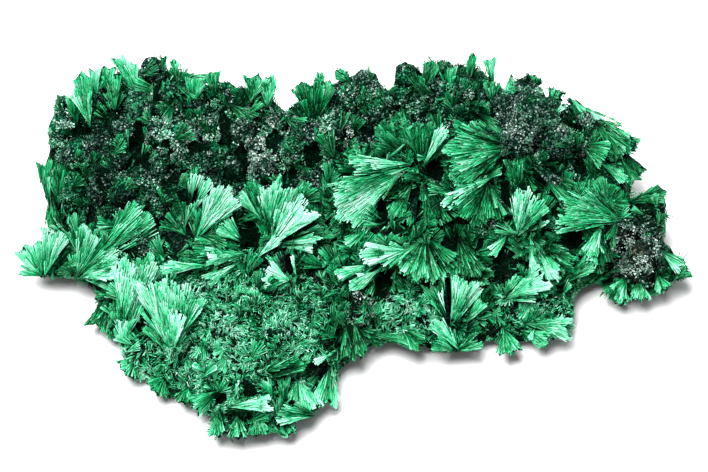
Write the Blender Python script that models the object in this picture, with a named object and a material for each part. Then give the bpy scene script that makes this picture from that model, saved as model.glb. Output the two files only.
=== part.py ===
"""Fibrous malachite: one grown piece of mineral, built as one closed solid.

The specimen lies on a rough, flat underside. Its top is laid out on the sloping plane from which it
shows best: u runs to the right and v runs up that plane, both in millimetres. A spot height gives the
level of the ground under each place, and everything that stands on the ground is placed with it.
"""

import math
import random
from collections import namedtuple

import bmesh
import bpy
from mathutils import Vector
from mathutils.geometry import delaunay_2d_cdt

MM = 0.001

# The sloping plane, and how far the whole specimen is moved back so that its box is centred.
PLANE_ELEVATION = math.radians(55)
RISE = math.sin(PLANE_ELEVATION)
RUN = math.cos(PLANE_ELEVATION)
RIGHT = Vector((1, 0, 0))
UP_PLANE = Vector((0, RISE, RUN))
OUT_OF_PLANE = Vector((0, -RUN, RISE))
MOVE_BACK = 6.6
MOVE_RIGHT = 0.1

# Matrix body, in millimetres.
SPOT_SOFTNESS = 3.0
HALF_WIDTH = 42
HALF_DEPTH = 25
MESH_SPACING = 4.4
MESH_SHIFT = 0.6
JOIN_DISTANCE = 1e-6
SURFACE_ROUGHNESS = 0.55
EDGE_MARGIN = 1.9
LOWEST_RIM = 2.2
RIM_RAGGEDNESS = 0.35
UNDERSIDE_LEVEL = 1.3
UNDERSIDE_SHARE = 0.45

# Sprays and lumps, in millimetres and degrees.
DEGREES_PER_RAY = 11
SPRAY_THICKNESS = 0.4
SPRAY_PLEAT = 0.3
SPRAY_RAGGEDNESS = 0.13
RIM_BEVEL = 0.06
APEX_RISE = 0.25
APEX_BACK = 0.3
ROOT_DEPTH = 3.0
ROLL_SWING = 20
GOLDEN_ANGLE = 2.4
LUMP_JITTER = 0.17
LUMP_SINK = 3.0
LUMP_STRETCH = 1.25
LUMP_FLATTEST = 0.8
LUMP_WAIST = -0.1
CLEARANCE_BELOW = 0.35
FOOT_TOLERANCE = 0.05
MOST_TRIANGLES = 9600
MOST_MENDS = 5
SEED = 11

Spot = namedtuple("Spot", "u v height")
WallRow = namedtuple("WallRow", "share inset roughness smoothing")
Spray = namedtuple("Spray", "u v heading length spread stand lift")
Lump = namedtuple("Lump", "u v radius stand")

# The level of the ground above the surface that the specimen lies on.
SPOT_HEIGHTS = [
    Spot(*row)
    for row in (
        (-41, -1, 3.2),
        (-38, 0, 4.0),
        (-34, -3, 4.2),
        (-38, 8, 8.5),
        (-36, 16, 11.5),
        (-29, 21, 13.0),
        (-30, 10, 12.5),
        (-30, 2, 9.5),
        (-20, 15, 13.0),
        (-20, 7, 12.0),
        (-20, 0, 10.0),
        (-30, -8, 3.2),
        (-25, -8, 6.5),
        (-27, -14, 3.2),
        (-20, -10, 7.8),
        (-22, -17, 3.0),
        (-15, -20, 3.6),
        (-16, -23, 2.2),
        (-9, -22, 2.4),
        (-4, -18, 3.0),
        (-12, -14, 6.4),
        (-10, -8, 8.6),
        (-10, 2, 9.6),
        (-10, 12, 12.6),
        (-8, 17, 12.5),
        (0, 20, 13.5),
        (0, 10, 12.2),
        (0, 0, 9.6),
        (0, -8, 6.6),
        (1, -12, 3.0),
        (8, -9, 5.2),
        (10, -13, 2.4),
        (8, 2, 10.2),
        (8, 12, 12.8),
        (10, 21, 13.6),
        (17, 5, 11.0),
        (17, 14, 13.0),
        (17, 21, 13.2),
        (18, -8, 4.4),
        (20, -12, 2.2),
        (20, -1, 7.2),
        (26, -9, 3.0),
        (28, -4, 4.0),
        (26, 4, 9.0),
        (25, 12, 12.0),
        (28, 17, 11.6),
        (34, 11, 8.8),
        (33, 5, 7.8),
        (38, 5, 6.6),
        (36, 0, 6.4),
        (40, -3, 3.8),
        (33, -5, 2.6),
    )
]

# The edge of the matrix on the plane, clockwise from the far left, a little inside the outermost tips.
OUTLINE = (
    (-40.6, -1.2),
    (-39.4, 0.2),
    (-37.6, 1.6),
    (-37.4, 5.2),
    (-37.8, 9.2),
    (-37.2, 13.0),
    (-37.2, 17.0),
    (-35.0, 18.8),
    (-33.2, 20.8),
    (-29.0, 21.8),
    (-25.0, 22.4),
    (-21.8, 21.8),
    (-18.5, 20.0),
    (-15.0, 19.8),
    (-11.6, 19.2),
    (-8.6, 16.6),
    (-6.2, 18.4),
    (-3.4, 19.6),
    (-0.2, 21.0),
    (2.2, 20.8),
    (4.3, 19.4),
    (7.0, 21.6),
    (10.2, 22.0),
    (13.6, 22.6),
    (16.4, 21.8),
    (18.0, 19.8),
    (21.6, 19.6),
    (24.2, 18.0),
    (28.6, 17.4),
    (31.6, 14.4),
    (34.2, 11.8),
    (35.2, 9.6),
    (33.8, 7.4),
    (34.4, 5.6),
    (37.8, 5.4),
    (38.2, 2.6),
    (38.8, 0.4),
    (40.6, -2.4),
    (39.6, -4.4),
    (36.6, -5.8),
    (33.6, -6.6),
    (31.8, -5.6),
    (31.6, -3.2),
    (28.4, -4.2),
    (27.2, -6.4),
    (26.6, -9.8),
    (23.4, -11.0),
    (20.0, -12.2),
    (17.0, -10.4),
    (13.2, -12.4),
    (9.4, -12.6),
    (5.6, -11.4),
    (2.0, -11.0),
    (0.6, -13.0),
    (-2.6, -13.6),
    (-3.0, -19.4),
    (-6.0, -20.8),
    (-9.0, -22.4),
    (-13.0, -22.8),
    (-16.6, -22.2),
    (-18.2, -19.8),
    (-22.5, -18.2),
    (-26.0, -16.0),
    (-28.4, -14.0),
    (-28.8, -11.6),
    (-31.0, -10.0),
    (-31.2, -6.4),
    (-33.4, -3.8),
    (-36.0, -2.2),
    (-39.0, -3.2),
)

# Sprays of needles, as (u, v) of the root, heading, length, spread, height off the ground, and lift.
LEFT_LOBE_SPRAYS = (
    (-39.2, -4.0, 106, 4.6, 66, 1.0, 12),
    (-38.8, -4.0, 74, 6.4, 30, 1.4, 14),
    (-38.0, -3.8, 38, 3.8, 44, 0.6, 8),
    (-34.8, -4.3, 64, 7.2, 34, 1.6, 14),
    (-34.6, -4.2, 46, 12.8, 9, 2.0, 12),
    (-34.2, -4.2, 22, 6.2, 42, 2.0, 16),
    (-33.6, -3.2, 95, 6.0, 30, 0.6, 8),
)
PILLAR_SPRAYS = (
    (-28.9, -12.2, 86, 11.2, 14, 1.6, 12),
    (-28.7, -12.3, 82, 3.4, 34, 2.0, 16),
    (-27.6, -9.4, 74, 9.0, 16, 1.8, 12),
    (-22.4, -14.0, 106, 10.6, 20, 2.2, 14),
    (-22.3, -13.8, 91, 9.6, 20, 2.4, 14),
    (-22.1, -13.2, 72, 7.6, 22, 2.0, 14),
    (-22.2, -12.8, 84, 5.0, 26, 2.6, 18),
    (-30.2, -6.0, 244, 5.6, 26, 0.8, 20),
    (-30.0, -6.2, 268, 6.2, 14, 1.2, 20),
    (-29.8, -6.4, 200, 2.8, 62, 0.8, 20),
)
CENTRE_STAR_SPRAYS = (
    (-21.0, 2.2, 80, 7.0, 9, 1.8, 14),
    (-20.8, 2.6, 68, 6.6, 9, 1.8, 12),
    (-19.8, 0.5, 57, 8.3, 24, 2.2, 14),
    (-19.4, 0.8, 44, 7.0, 12, 1.8, 12),
    (-13.7, 0.1, 138, 4.2, 42, 1.6, 12),
    (-11.3, 2.4, 127, 5.4, 9, 2.4, 16),
    (-11.3, 2.6, 106, 5.8, 22, 1.8, 14),
    (-11.0, 2.4, 90, 5.2, 14, 2.2, 14),
    (-10.8, 1.4, 76, 7.6, 9, 2.0, 12),
    (-10.4, 1.4, 70, 8.0, 8, 1.8, 12),
    (-10.0, 1.8, 63, 7.8, 15, 2.2, 14),
    (-10.6, -0.6, 47, 8.0, 24, 2.8, 16),
    (-12.0, -1.6, 42, 4.0, 16, 2.6, 10),
    (-9.2, 0.0, 26, 6.8, 34, 2.0, 12),
    (-9.2, -0.1, 9, 5.6, 8, 2.4, 14),
    (-8.4, -0.3, 357, 3.6, 16, 2.2, 12),
    (-13.4, -0.9, 172, 7.4, 14, 1.8, 12),
    (-13.4, -1.2, 184, 5.2, 22, 2.2, 14),
    (-17.2, -1.9, 178, 4.4, 26, 1.4, 8),
    (-13.8, -2.0, 211, 5.6, 14, 2.0, 12),
    (-17.6, -2.8, 180, 6.6, 8, 1.8, 10),
    (-8.1, -4.5, 166, 3.5, 62, 2.4, 16),
    (-8.2, -4.2, 118, 3.8, 36, 1.8, 12),
    (-13.6, -3.7, 55, 3.2, 44, 1.4, 10),
    (-12.0, -6.4, 62, 3.4, 70, 1.2, 10),
    (-7.2, -3.9, 105, 2.8, 6, 2.4, 14),
    (-3.6, -3.0, 160, 3.4, 40, 1.0, 10),
)
UPPER_CENTRE_SPRAYS = (
    (7.0, 9.9, 186, 8.0, 24, 3.2, 14),
    (7.0, 9.9, 176, 8.0, 6, 3.4, 14),
    (6.8, 9.6, 201, 9.6, 12, 3.4, 14),
    (6.6, 9.4, 214, 11.2, 20, 3.2, 12),
    (8.3, 9.6, 97, 5.8, 40, 2.6, 14),
    (8.8, 9.8, 62, 5.9, 14, 3.2, 18),
    (8.4, 12.2, 70, 3.2, 30, 2.8, 16),
    (19.4, 12.0, 195, 8.6, 46, 3.4, 14),
    (19.3, 12.4, 167, 7.8, 16, 3.0, 10),
    (17.2, 8.2, 207, 7.6, 9, 3.8, 16),
    (16.6, 7.6, 236, 6.0, 50, 3.4, 20),
    (16.8, 7.6, 280, 5.4, 50, 3.2, 20),
    (7.2, 7.2, 238, 4.8, 30, 2.4, 14),
    (2.2, 3.2, 262, 2.8, 26, 2.0, 12),
    (8.0, 6.4, 252, 4.6, 28, 2.0, 14),
    (8.7, 8.0, 288, 6.2, 28, 2.2, 14),
    (8.5, 8.6, 328, 3.8, 20, 2.0, 12),
    (5.6, 11.4, 135, 4.6, 62, 1.8, 14),
    (1.0, 9.2, 178, 3.4, 22, 2.0, 12),
)
LOWER_CENTRE_SPRAYS = (
    (6.8, -0.8, 186, 6.4, 26, 3.0, 14),
    (4.0, -2.0, 198, 7.0, 8, 2.6, 12),
    (5.0, -2.0, 213, 7.0, 9, 2.4, 12),
    (8.8, 0.6, 232, 5.6, 34, 3.2, 18),
    (8.9, 0.4, 268, 5.6, 42, 3.0, 18),
    (12.0, -10.5, 110, 6.6, 24, 2.0, 12),
    (11.9, -10.2, 98, 6.4, 4, 2.6, 12),
    (12.2, -10.4, 76, 6.8, 28, 2.2, 14),
    (12.6, -9.8, 58, 6.2, 10, 2.0, 12),
    (13.0, 0.6, 272, 5.2, 22, 1.8, 14),
    (13.2, 0.6, 296, 5.6, 24, 1.8, 14),
    (19.2, 1.0, 234, 3.5, 14, 2.2, 14),
    (14.0, -3.0, 334, 3.6, 42, 1.6, 12),
    (13.8, -9.9, 48, 3.8, 12, 2.0, 14),
    (13.0, -13.2, 130, 5.2, 16, 1.6, 14),
    (12.6, -13.2, 160, 3.4, 44, 1.4, 22),
    (12.8, -13.2, 28, 3.6, 44, 1.2, 20),
    (1.2, -11.0, 350, 6.6, 12, 1.2, 16),
    (6.0, -10.6, 318, 3.6, 40, 1.2, 20),
    (-1.0, -9.6, 272, 5.2, 20, 1.0, 18),
    (-0.2, -9.4, 284, 5.2, 16, 0.8, 18),
)
RIGHT_SPRAYS = (
    (20.3, 1.0, 83, 6.4, 12, 3.2, 14),
    (20.4, 1.0, 55, 5.9, 24, 3.2, 14),
    (20.8, 4.2, 98, 6.6, 18, 2.2, 12),
    (22.2, 10.2, 322, 6.8, 26, 1.8, 10),
    (20.6, 10.2, 285, 4.4, 24, 1.6, 10),
    (22.0, 1.6, 28, 2.8, 12, 2.6, 10),
    (33.8, 2.8, 170, 8.6, 18, 3.0, 12),
    (33.6, 2.9, 151, 6.6, 18, 2.8, 12),
    (33.6, 2.7, 184, 8.8, 4, 3.4, 12),
    (31.0, 2.4, 246, 4.8, 24, 2.6, 16),
    (21.8, 1.0, 284, 5.6, 16, 3.0, 18),
    (22.4, 0.6, 301, 6.6, 14, 2.8, 18),
    (24.0, -0.4, 322, 4.2, 40, 1.8, 12),
    (25.0, -5.4, 34, 6.0, 16, 1.6, 12),
    (18.6, -7.0, 31, 6.4, 26, 2.2, 14),
    (18.7, -6.6, 66, 3.4, 40, 1.8, 12),
    (21.4, -9.8, 352, 6.2, 22, 1.6, 20),
    (20.8, -10.8, 338, 4.2, 34, 1.2, 24),
    (18.6, -10.6, 287, 3.8, 48, 1.4, 26),
    (22.6, -10.6, 242, 1.8, 16, 1.6, 20),
    (24.0, -9.8, 300, 2.6, 50, 1.0, 24),
)
UPPER_RIGHT_SPRAYS = (
    (27.0, 18.2, 325, 10.8, 10, 2.4, 8),
    (27.2, 18.4, 318, 5.0, 14, 2.8, 10),
    (30.0, 16.0, 287, 6.2, 48, 2.0, 14),
    (32.6, 14.2, 322, 3.8, 40, 2.0, 10),
    (34.4, 11.2, 296, 3.2, 54, 1.4, 12),
    (33.8, 10.6, 300, 3.6, 24, 1.8, 14),
    (31.0, 10.2, 325, 4.4, 14, 2.0, 14),
    (30.6, 8.4, 300, 3.2, 70, 1.6, 14),
    (24.4, 15.8, 37, 3.0, 10, 3.4, 12),
    (23.4, 18.2, 352, 3.0, 34, 2.2, 12),
    (19.8, 21.2, 264, 3.6, 34, 3.2, 22),
    (17.4, 20.0, 96, 3.6, 22, 2.4, 14),
    (14.6, 20.2, 84, 4.0, 16, 2.6, 12),
    (16.8, 20.4, 262, 4.2, 20, 2.4, 18),
    (8.6, 19.0, 72, 4.4, 26, 2.0, 12),
    (15.2, 16.8, 318, 5.6, 20, 2.2, 12),
    (22.0, 19.4, 60, 2.2, 60, 1.6, 14),
    (25.0, 18.0, 70, 1.8, 70, 1.2, 12),
)
RIGHT_LOBE_SPRAYS = (
    (34.5, 5.2, 16, 5.0, 26, 1.8, 12),
    (38.4, -0.8, 325, 3.8, 30, 1.6, 16),
    (40.0, -4.6, 38, 2.6, 44, 1.0, 16),
    (34.2, -4.2, 236, 3.8, 52, 1.6, 24),
    (33.4, -4.4, 268, 3.6, 40, 1.4, 26),
    (35.6, -4.4, 276, 3.2, 48, 1.4, 26),
    (38.0, -3.8, 292, 2.6, 50, 1.4, 24),
    (38.4, 2.4, 80, 1.6, 50, 1.2, 12),
    (36.6, 0.0, 85, 1.6, 30, 1.8, 14),
    (31.2, -3.4, 208, 3.4, 14, 1.0, 14),
)
LOWER_LEFT_SPRAYS = (
    (-2.9, -14.4, 262, 6.2, 28, 1.6, 22),
    (-6.9, -16.8, 256, 3.2, 20, 1.8, 20),
    (-6.9, -16.8, 296, 4.6, 34, 1.8, 20),
    (-2.9, -14.2, 222, 5.2, 26, 1.2, 16),
    (-2.5, -13.6, 207, 3.2, 8, 2.4, 14),
    (-15.4, -20.2, 7, 5.8, 16, 1.8, 18),
    (-5.1, -21.2, 175, 4.9, 16, 1.4, 20),
    (-5.2, -21.3, 186, 4.8, 6, 1.6, 20),
    (-8.7, -23.4, 150, 1.8, 20, 1.0, 22),
    (-16.5, -20.4, 262, 3.9, 30, 1.2, 26),
    (-14.5, -21.2, 270, 3.3, 50, 1.2, 28),
    (-12.0, -21.2, 275, 2.9, 60, 1.2, 28),
    (-9.0, -21.2, 298, 3.1, 44, 1.2, 26),
    (-16.8, -18.0, 214, 4.2, 40, 1.6, 18),
    (-14.8, -18.9, 76, 2.3, 10, 1.8, 14),
    (-10.0, -19.0, 116, 2.9, 30, 1.8, 14),
    (-8.6, -19.8, 90, 3.6, 24, 1.2, 10),
    (-19.0, -16.6, 38, 3.1, 30, 1.8, 14),
    (-18.7, -15.8, 132, 1.8, 20, 1.8, 14),
    (-11.2, -15.8, 20, 5.4, 12, 1.4, 12),
    (-10.6, -16.6, 22, 5.8, 10, 1.0, 12),
    (-23.4, -16.4, 238, 2.8, 70, 0.8, 24),
    (-20.4, -17.6, 250, 2.6, 60, 0.8, 24),
    (-27.0, -14.2, 232, 2.8, 80, 0.8, 24),
)
UPPER_LEFT_SPRAYS = (
    (-27.2, 18.8, 104, 4.4, 22, 2.6, 14),
    (-27.6, 19.2, 116, 5.2, 16, 2.8, 14),
    (-30.0, 17.6, 108, 2.4, 24, 2.2, 14),
    (-32.5, 18.2, 93, 4.2, 18, 2.6, 14),
    (-33.2, 14.6, 98, 7.4, 18, 2.2, 14),
    (-31.0, 19.0, 92, 3.6, 36, 1.8, 12),
    (-22.6, 20.4, 92, 3.1, 16, 2.4, 14),
    (-20.0, 20.2, 18, 3.0, 26, 1.8, 10),
    (-22.0, 21.4, 352, 4.8, 12, 1.8, 8),
    (-24.2, 21.0, 88, 2.9, 16, 1.6, 12),
    (-38.4, 11.4, 286, 6.8, 26, 1.2, 10),
    (-38.2, 7.6, 277, 6.6, 16, 0.8, 10),
    (-37.0, 2.2, 73, 4.2, 8, 1.6, 12),
    (-13.0, 17.8, 68, 3.8, 32, 2.4, 14),
    (-11.0, 17.2, 90, 3.9, 30, 2.0, 12),
    (-13.4, 18.6, 158, 3.2, 26, 1.8, 12),
    (-15.8, 17.8, 320, 4.2, 32, 1.8, 12),
    (-5.2, 14.6, 98, 6.2, 34, 1.8, 14),
    (-4.6, 15.2, 78, 5.8, 30, 2.0, 14),
    (-4.4, 18.6, 88, 3.2, 12, 2.0, 12),
    (0.6, 20.0, 150, 3.6, 24, 1.8, 12),
)
SPRAYS = [
    Spray(*row)
    for group in (
        LEFT_LOBE_SPRAYS,
        PILLAR_SPRAYS,
        CENTRE_STAR_SPRAYS,
        UPPER_CENTRE_SPRAYS,
        LOWER_CENTRE_SPRAYS,
        RIGHT_SPRAYS,
        UPPER_RIGHT_SPRAYS,
        RIGHT_LOBE_SPRAYS,
        LOWER_LEFT_SPRAYS,
        UPPER_LEFT_SPRAYS,
    )
    for row in group
]

# Rounded lumps, as (u, v), radius, and the height of their middle off the ground. A low swelling's
# middle is under the ground.
LUMPS = [
    Lump(*row)
    for row in (
        (-36.8, 14.6, 2.0, 1.6),
        (-36.6, 17.2, 1.5, 1.0),
        (-34.6, 11.0, 2.6, 1.4),
        (-34.6, 6.0, 2.2, 1.4),
        (-31.6, 7.2, 1.8, 1.2),
        (-29.4, 13.8, 1.8, 2.2),
        (-29.0, 10.8, 1.5, 2.2),
        (-28.6, 6.6, 2.0, 1.4),
        (-26.6, 16.6, 1.6, 2.0),
        (-24.2, 13.4, 1.6, 2.6),
        (-21.8, 13.2, 1.8, 2.6),
        (-24.6, 10.4, 1.6, 2.0),
        (-21.4, 11.2, 1.3, 2.2),
        (-18.4, 14.4, 1.6, 2.6),
        (-19.2, 16.6, 0.9, 2.4),
        (-23.0, 18.4, 1.8, 1.8),
        (-20.4, 17.4, 1.5, 1.8),
        (-25.6, 21.8, 1.7, 1.4),
        (-18.4, 18.8, 1.3, 1.4),
        (-16.2, 19.2, 1.4, 1.8),
        (-18.2, 10.6, 2.2, 1.6),
        (-26.4, 8.0, 1.8, 1.2),
        (-24.2, 4.2, 1.8, 1.0),
        (-14.0, 13.8, 1.7, 2.2),
        (-12.0, 11.6, 1.5, 2.8),
        (-11.0, 9.2, 1.8, 2.4),
        (-15.2, 9.4, 1.7, 1.4),
        (-9.2, 15.6, 1.2, 2.0),
        (-8.0, 11.4, 2.0, 2.2),
        (-5.4, 13.6, 1.5, 1.8),
        (-2.6, 14.4, 1.7, 2.6),
        (-2.9, 9.8, 0.9, 1.6),
        (-0.6, 17.4, 1.4, 1.6),
        (1.4, 19.6, 2.2, 2.4),
        (3.2, 16.6, 2.0, 2.4),
        (6.8, 20.8, 2.0, 1.6),
        (6.2, 18.2, 1.5, 1.8),
        (8.2, 17.0, 1.4, 2.2),
        (11.2, 19.2, 1.5, 2.4),
        (11.4, 22.0, 1.2, 1.6),
        (13.8, 18.8, 1.4, 2.4),
        (13.2, 16.2, 1.6, 1.4),
        (16.0, 18.4, 1.4, 1.6),
        (18.6, 17.2, 1.8, 1.4),
        (22.0, 15.4, 4.2, 1.6),
        (20.4, 12.2, 2.0, 1.2),
        (21.6, 19.2, 1.8, 1.2),
        (25.6, 12.6, 2.0, 1.6),
        (28.8, 15.4, 1.3, 2.2),
        (28.6, 12.2, 1.3, 1.4),
        (33.0, 1.0, 1.9, 1.6),
        (36.0, -1.6, 2.2, 1.6),
        (36.6, 1.8, 1.6, 1.2),
        (37.4, 4.2, 1.9, 1.2),
        (-26.6, -14.2, 2.6, -0.8),
        (-22.5, -16.8, 2.4, -1.0),
        (-15.6, -5.6, 2.8, -1.2),
        (-17.5, -11.0, 3.4, -2.2),
        (-12.6, -9.2, 3.6, -2.4),
        (-9.6, -12.4, 3.4, -2.2),
        (-4.0, -8.4, 3.2, -2.0),
        (-3.4, -12.6, 2.6, -1.4),
        (0.6, -8.0, 1.6, 0.4),
        (5.2, -8.2, 3.0, -1.6),
        (9.0, -8.6, 2.2, -0.8),
        (22.8, -7.4, 2.8, -1.4),
        (26.0, -8.4, 1.8, -0.2),
        (-24.6, -3.0, 3.0, -1.6),
        (-26.6, -0.6, 2.0, -0.6),
        (-3.0, 2.4, 3.2, -1.8),
        (3.6, 0.8, 2.6, -1.0),
    )
]

# The rows of the walls, from the top down: their share of the rim's height, how far they lie inside it,
# how rough they are, and how often the outline is smoothed for them. The last is the flat foot.
WALL_ROWS = (
    WallRow(0.82, 0.35, 0.6, 1),
    WallRow(0.58, -0.1, 0.7, 1),
    WallRow(0.34, 0.45, 0.6, 2),
    WallRow(None, 1.4, 0.3, 6),
    WallRow(0.0, 2.5, 0.0, 14),
)

MALACHITE_GREEN = (0.012, 0.165, 0.07, 1.0)
MALACHITE_ROUGHNESS = 0.5
SHARP_ANGLE = math.radians(35)


def ground_height(u, v):
    """The level at (u, v), blended from the spot heights by nearness."""
    total = weight_sum = 0.0
    for spot in SPOT_HEIGHTS:
        weight = 1 / ((u - spot.u) ** 2 + (v - spot.v) ** 2 + SPOT_SOFTNESS) ** 2
        total += weight * spot.height
        weight_sum += weight
    return total / weight_sum


def at_level(u, v, height):
    """The point that shows at (u, v) on the plane and lies at this height."""
    return Vector((u + MOVE_RIGHT, (v - height * RUN) / RISE + MOVE_BACK, height))


def on_ground(u, v, stand=0.0):
    return at_level(u, v, ground_height(u, v)) + stand * OUT_OF_PLANE


def new_object(name, verts, faces):
    """A mesh object from points in millimetres, with its faces turned outwards."""
    mesh = bpy.data.meshes.new(name)
    mesh.from_pydata([Vector(point) * MM for point in verts], [], faces)
    shape = bmesh.new()
    shape.from_mesh(mesh)
    bmesh.ops.recalc_face_normals(shape, faces=shape.faces)
    shape.to_mesh(mesh)
    shape.free()
    return bpy.data.objects.new(name, mesh)


def smoothed(points, times):
    """The closed outline with each point moved towards its neighbours, this many times."""
    for _ in range(times):
        points = [
            (2 * point + points[i - 1] + points[(i + 1) % len(points)]) / 4
            for i, point in enumerate(points)
        ]
    return points


def inset_outline(points, distances):
    """The closed outline in plan, moved inwards. It runs clockwise seen from above."""
    moved = []
    for i, (point, distance) in enumerate(zip(points, distances)):
        along = (points[(i + 1) % len(points)] - points[i - 1]).normalized()
        moved.append(point + distance * Vector((along.y, -along.x)))
    return moved


def inside(point, loop):
    """Whether a plan point is inside the closed loop."""
    crossings = 0
    for i, end in enumerate(loop):
        start = loop[i - 1]
        if (start[1] > point[1]) != (end[1] > point[1]):
            share = (point[1] - start[1]) / (end[1] - start[1])
            crossings += point[0] < start[0] + share * (end[0] - start[0])
    return crossings % 2 == 1


def distance_to(point, loop):
    return min((Vector(point) - Vector(corner)).length for corner in loop)


def ground_points(chance):
    """A staggered grid of places on the plane, inside the outline."""
    row_height = MESH_SPACING * math.sqrt(3) / 2
    rows = int(HALF_DEPTH / row_height)
    columns = int(HALF_WIDTH / MESH_SPACING)
    points = []
    for row in range(-rows, rows + 1):
        for column in range(-columns, columns + 1):
            u = (column + 0.5 * (row % 2)) * MESH_SPACING + chance.uniform(-MESH_SHIFT, MESH_SHIFT)
            v = row * row_height + chance.uniform(-MESH_SHIFT, MESH_SHIFT)
            if inside((u, v), OUTLINE) and distance_to((u, v), OUTLINE) > EDGE_MARGIN:
                points.append((u, v))
    return points


def ragged_outline(chance):
    """The outline with a point added between each two, which juts out or in a little."""
    corners = []
    for i, corner in enumerate(OUTLINE):
        start, end = Vector(corner), Vector(OUTLINE[(i + 1) % len(OUTLINE)])
        along = (end - start).normalized()
        jut = chance.uniform(-RIM_RAGGEDNESS, RIM_RAGGEDNESS)
        corners += [start, (start + end) / 2 + jut * Vector((-along.y, along.x))]
    return corners


def build_matrix(chance):
    """The body under the sprays: a rough top, craggy walls, and a flat foot to rest on."""
    outline = ragged_outline(chance)
    count = len(outline)
    flat = outline + [Vector(point) for point in ground_points(chance)]
    edges = [(i, (i + 1) % count) for i in range(count)]
    flat, _, faces, *_ = delaunay_2d_cdt(flat, edges, [], 1, JOIN_DISTANCE)
    verts = []
    for i, (u, v) in enumerate(flat):
        height = ground_height(u, v)
        if i < count:
            height = max(height, LOWEST_RIM)
        else:
            height += chance.uniform(-SURFACE_ROUGHNESS, SURFACE_ROUGHNESS)
        verts.append(at_level(u, v, height))
    rim = verts[:count]
    starts = [0]
    for row in WALL_ROWS:
        insets = [row.inset + chance.uniform(-row.roughness, row.roughness) for _ in rim]
        plan = inset_outline(smoothed([point.xy for point in rim], row.smoothing), insets)
        plan = smoothed(plan, 1)
        starts.append(len(verts))
        for place, edge in zip(plan, rim):
            if row.share is None:
                height = min(UNDERSIDE_LEVEL, UNDERSIDE_SHARE * edge.z)
            else:
                height = row.share * edge.z
            verts.append(Vector((*place, height)))
    faces = list(faces)
    for upper, lower in zip(starts, starts[1:]):
        for i in range(count):
            j = (i + 1) % count
            faces.append((upper + i, upper + j, lower + j, lower + i))
    faces.append(tuple(starts[-1] + i for i in range(count)))
    return new_object("matrix", verts, faces)


def spray_axes(spray, index):
    """Along the spray, across it, and out of its sheet, which faces the viewer but for some roll."""
    heading = math.radians(spray.heading)
    lift = math.radians(spray.lift)
    in_plane = math.cos(heading) * RIGHT + math.sin(heading) * UP_PLANE
    along = math.cos(lift) * in_plane + math.sin(lift) * OUT_OF_PLANE
    level_across = OUT_OF_PLANE.cross(along).normalized()
    roll = math.radians(ROLL_SWING * math.sin(GOLDEN_ANGLE * index))
    across = math.cos(roll) * level_across + math.sin(roll) * along.cross(level_across)
    return along, across, along.cross(across)


def build_spray(spray, index):
    """A pleated wedge of grown-together needles with a ragged rim and its keel deep in the matrix."""
    along, across, outward = spray_axes(spray, index)
    root = on_ground(spray.u, spray.v, spray.stand)
    rays = max(2, round(spray.spread / DEGREES_PER_RAY))
    half_spread = math.radians(spray.spread) / 2
    apex = root + APEX_RISE * outward - APEX_BACK * along
    keel = root - (spray.stand + ROOT_DEPTH) * OUT_OF_PLANE
    keel.z = max(keel.z, CLEARANCE_BELOW)
    front, back = [], []
    for ray in range(rays + 1):
        angle = half_spread * (2 * ray / rays - 1)
        odd = (ray + index) % 2
        reach = spray.length * (1 - SPRAY_RAGGEDNESS * odd)
        tip = root + reach * (math.cos(angle) * along + math.sin(angle) * across)
        tip.z = max(tip.z, CLEARANCE_BELOW + SPRAY_THICKNESS)
        front.append(tip + SPRAY_PLEAT * odd * outward)
        back.append(tip.lerp(keel, RIM_BEVEL) - SPRAY_THICKNESS * outward)
        back[-1].z = max(back[-1].z, CLEARANCE_BELOW)
    verts = front + back + [apex, keel]
    apex_index, keel_index = len(verts) - 2, len(verts) - 1
    faces = [(0, apex_index, keel_index), (0, keel_index, rays + 1)]
    faces += [(rays, keel_index, apex_index), (rays, 2 * rays + 1, keel_index)]
    for i in range(rays):
        j = i + 1
        faces.append((i, j, apex_index))
        faces.append((rays + 1 + i, keel_index, rays + 1 + j))
        faces.append((i, rays + 1 + i, rays + 1 + j, j))
    return new_object(f"spray_{index}", verts, faces)


def build_lump(lump, index, chance):
    """A knobbly column with a domed top, or a low swelling, sunk into the matrix."""
    middle = on_ground(lump.u, lump.v, lump.stand)
    wide, deep = chance.uniform(LUMP_FLATTEST, 1), chance.uniform(LUMP_FLATTEST, 1)
    shape = bmesh.new()
    bmesh.ops.create_icosphere(shape, subdivisions=2, radius=lump.radius)
    for vert in shape.verts:
        vert.co *= 1 + chance.uniform(-LUMP_JITTER, LUMP_JITTER)
        vert.co *= Vector((wide, deep, LUMP_STRETCH))
        if vert.co.z < LUMP_WAIST:
            vert.co.z -= max(lump.stand, 0) + LUMP_SINK
        vert.co += middle
        vert.co.z = max(vert.co.z, CLEARANCE_BELOW)
    verts = [vert.co.copy() for vert in shape.verts]
    faces = [[vert.index for vert in face.verts] for face in shape.faces]
    shape.free()
    return new_object(f"lump_{index}", verts, faces)


def mend(mesh):
    """Takes out each corner where the thinned surface pinches and closes it over, and levels the foot."""
    shape = bmesh.new()
    shape.from_mesh(mesh)
    for _ in range(MOST_MENDS):
        pinched = [vert for vert in shape.verts if not vert.is_manifold]
        if not pinched:
            break
        bmesh.ops.delete(shape, geom=pinched, context="VERTS")
        open_edges = [edge for edge in shape.edges if edge.is_boundary]
        bmesh.ops.holes_fill(shape, edges=open_edges, sides=0)
    for vert in shape.verts:
        if vert.co.z < FOOT_TOLERANCE * MM:
            vert.co.z = 0
    bmesh.ops.triangulate(shape, faces=shape.faces)
    bmesh.ops.recalc_face_normals(shape, faces=shape.faces)
    shape.to_mesh(mesh)
    shape.free()


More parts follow.
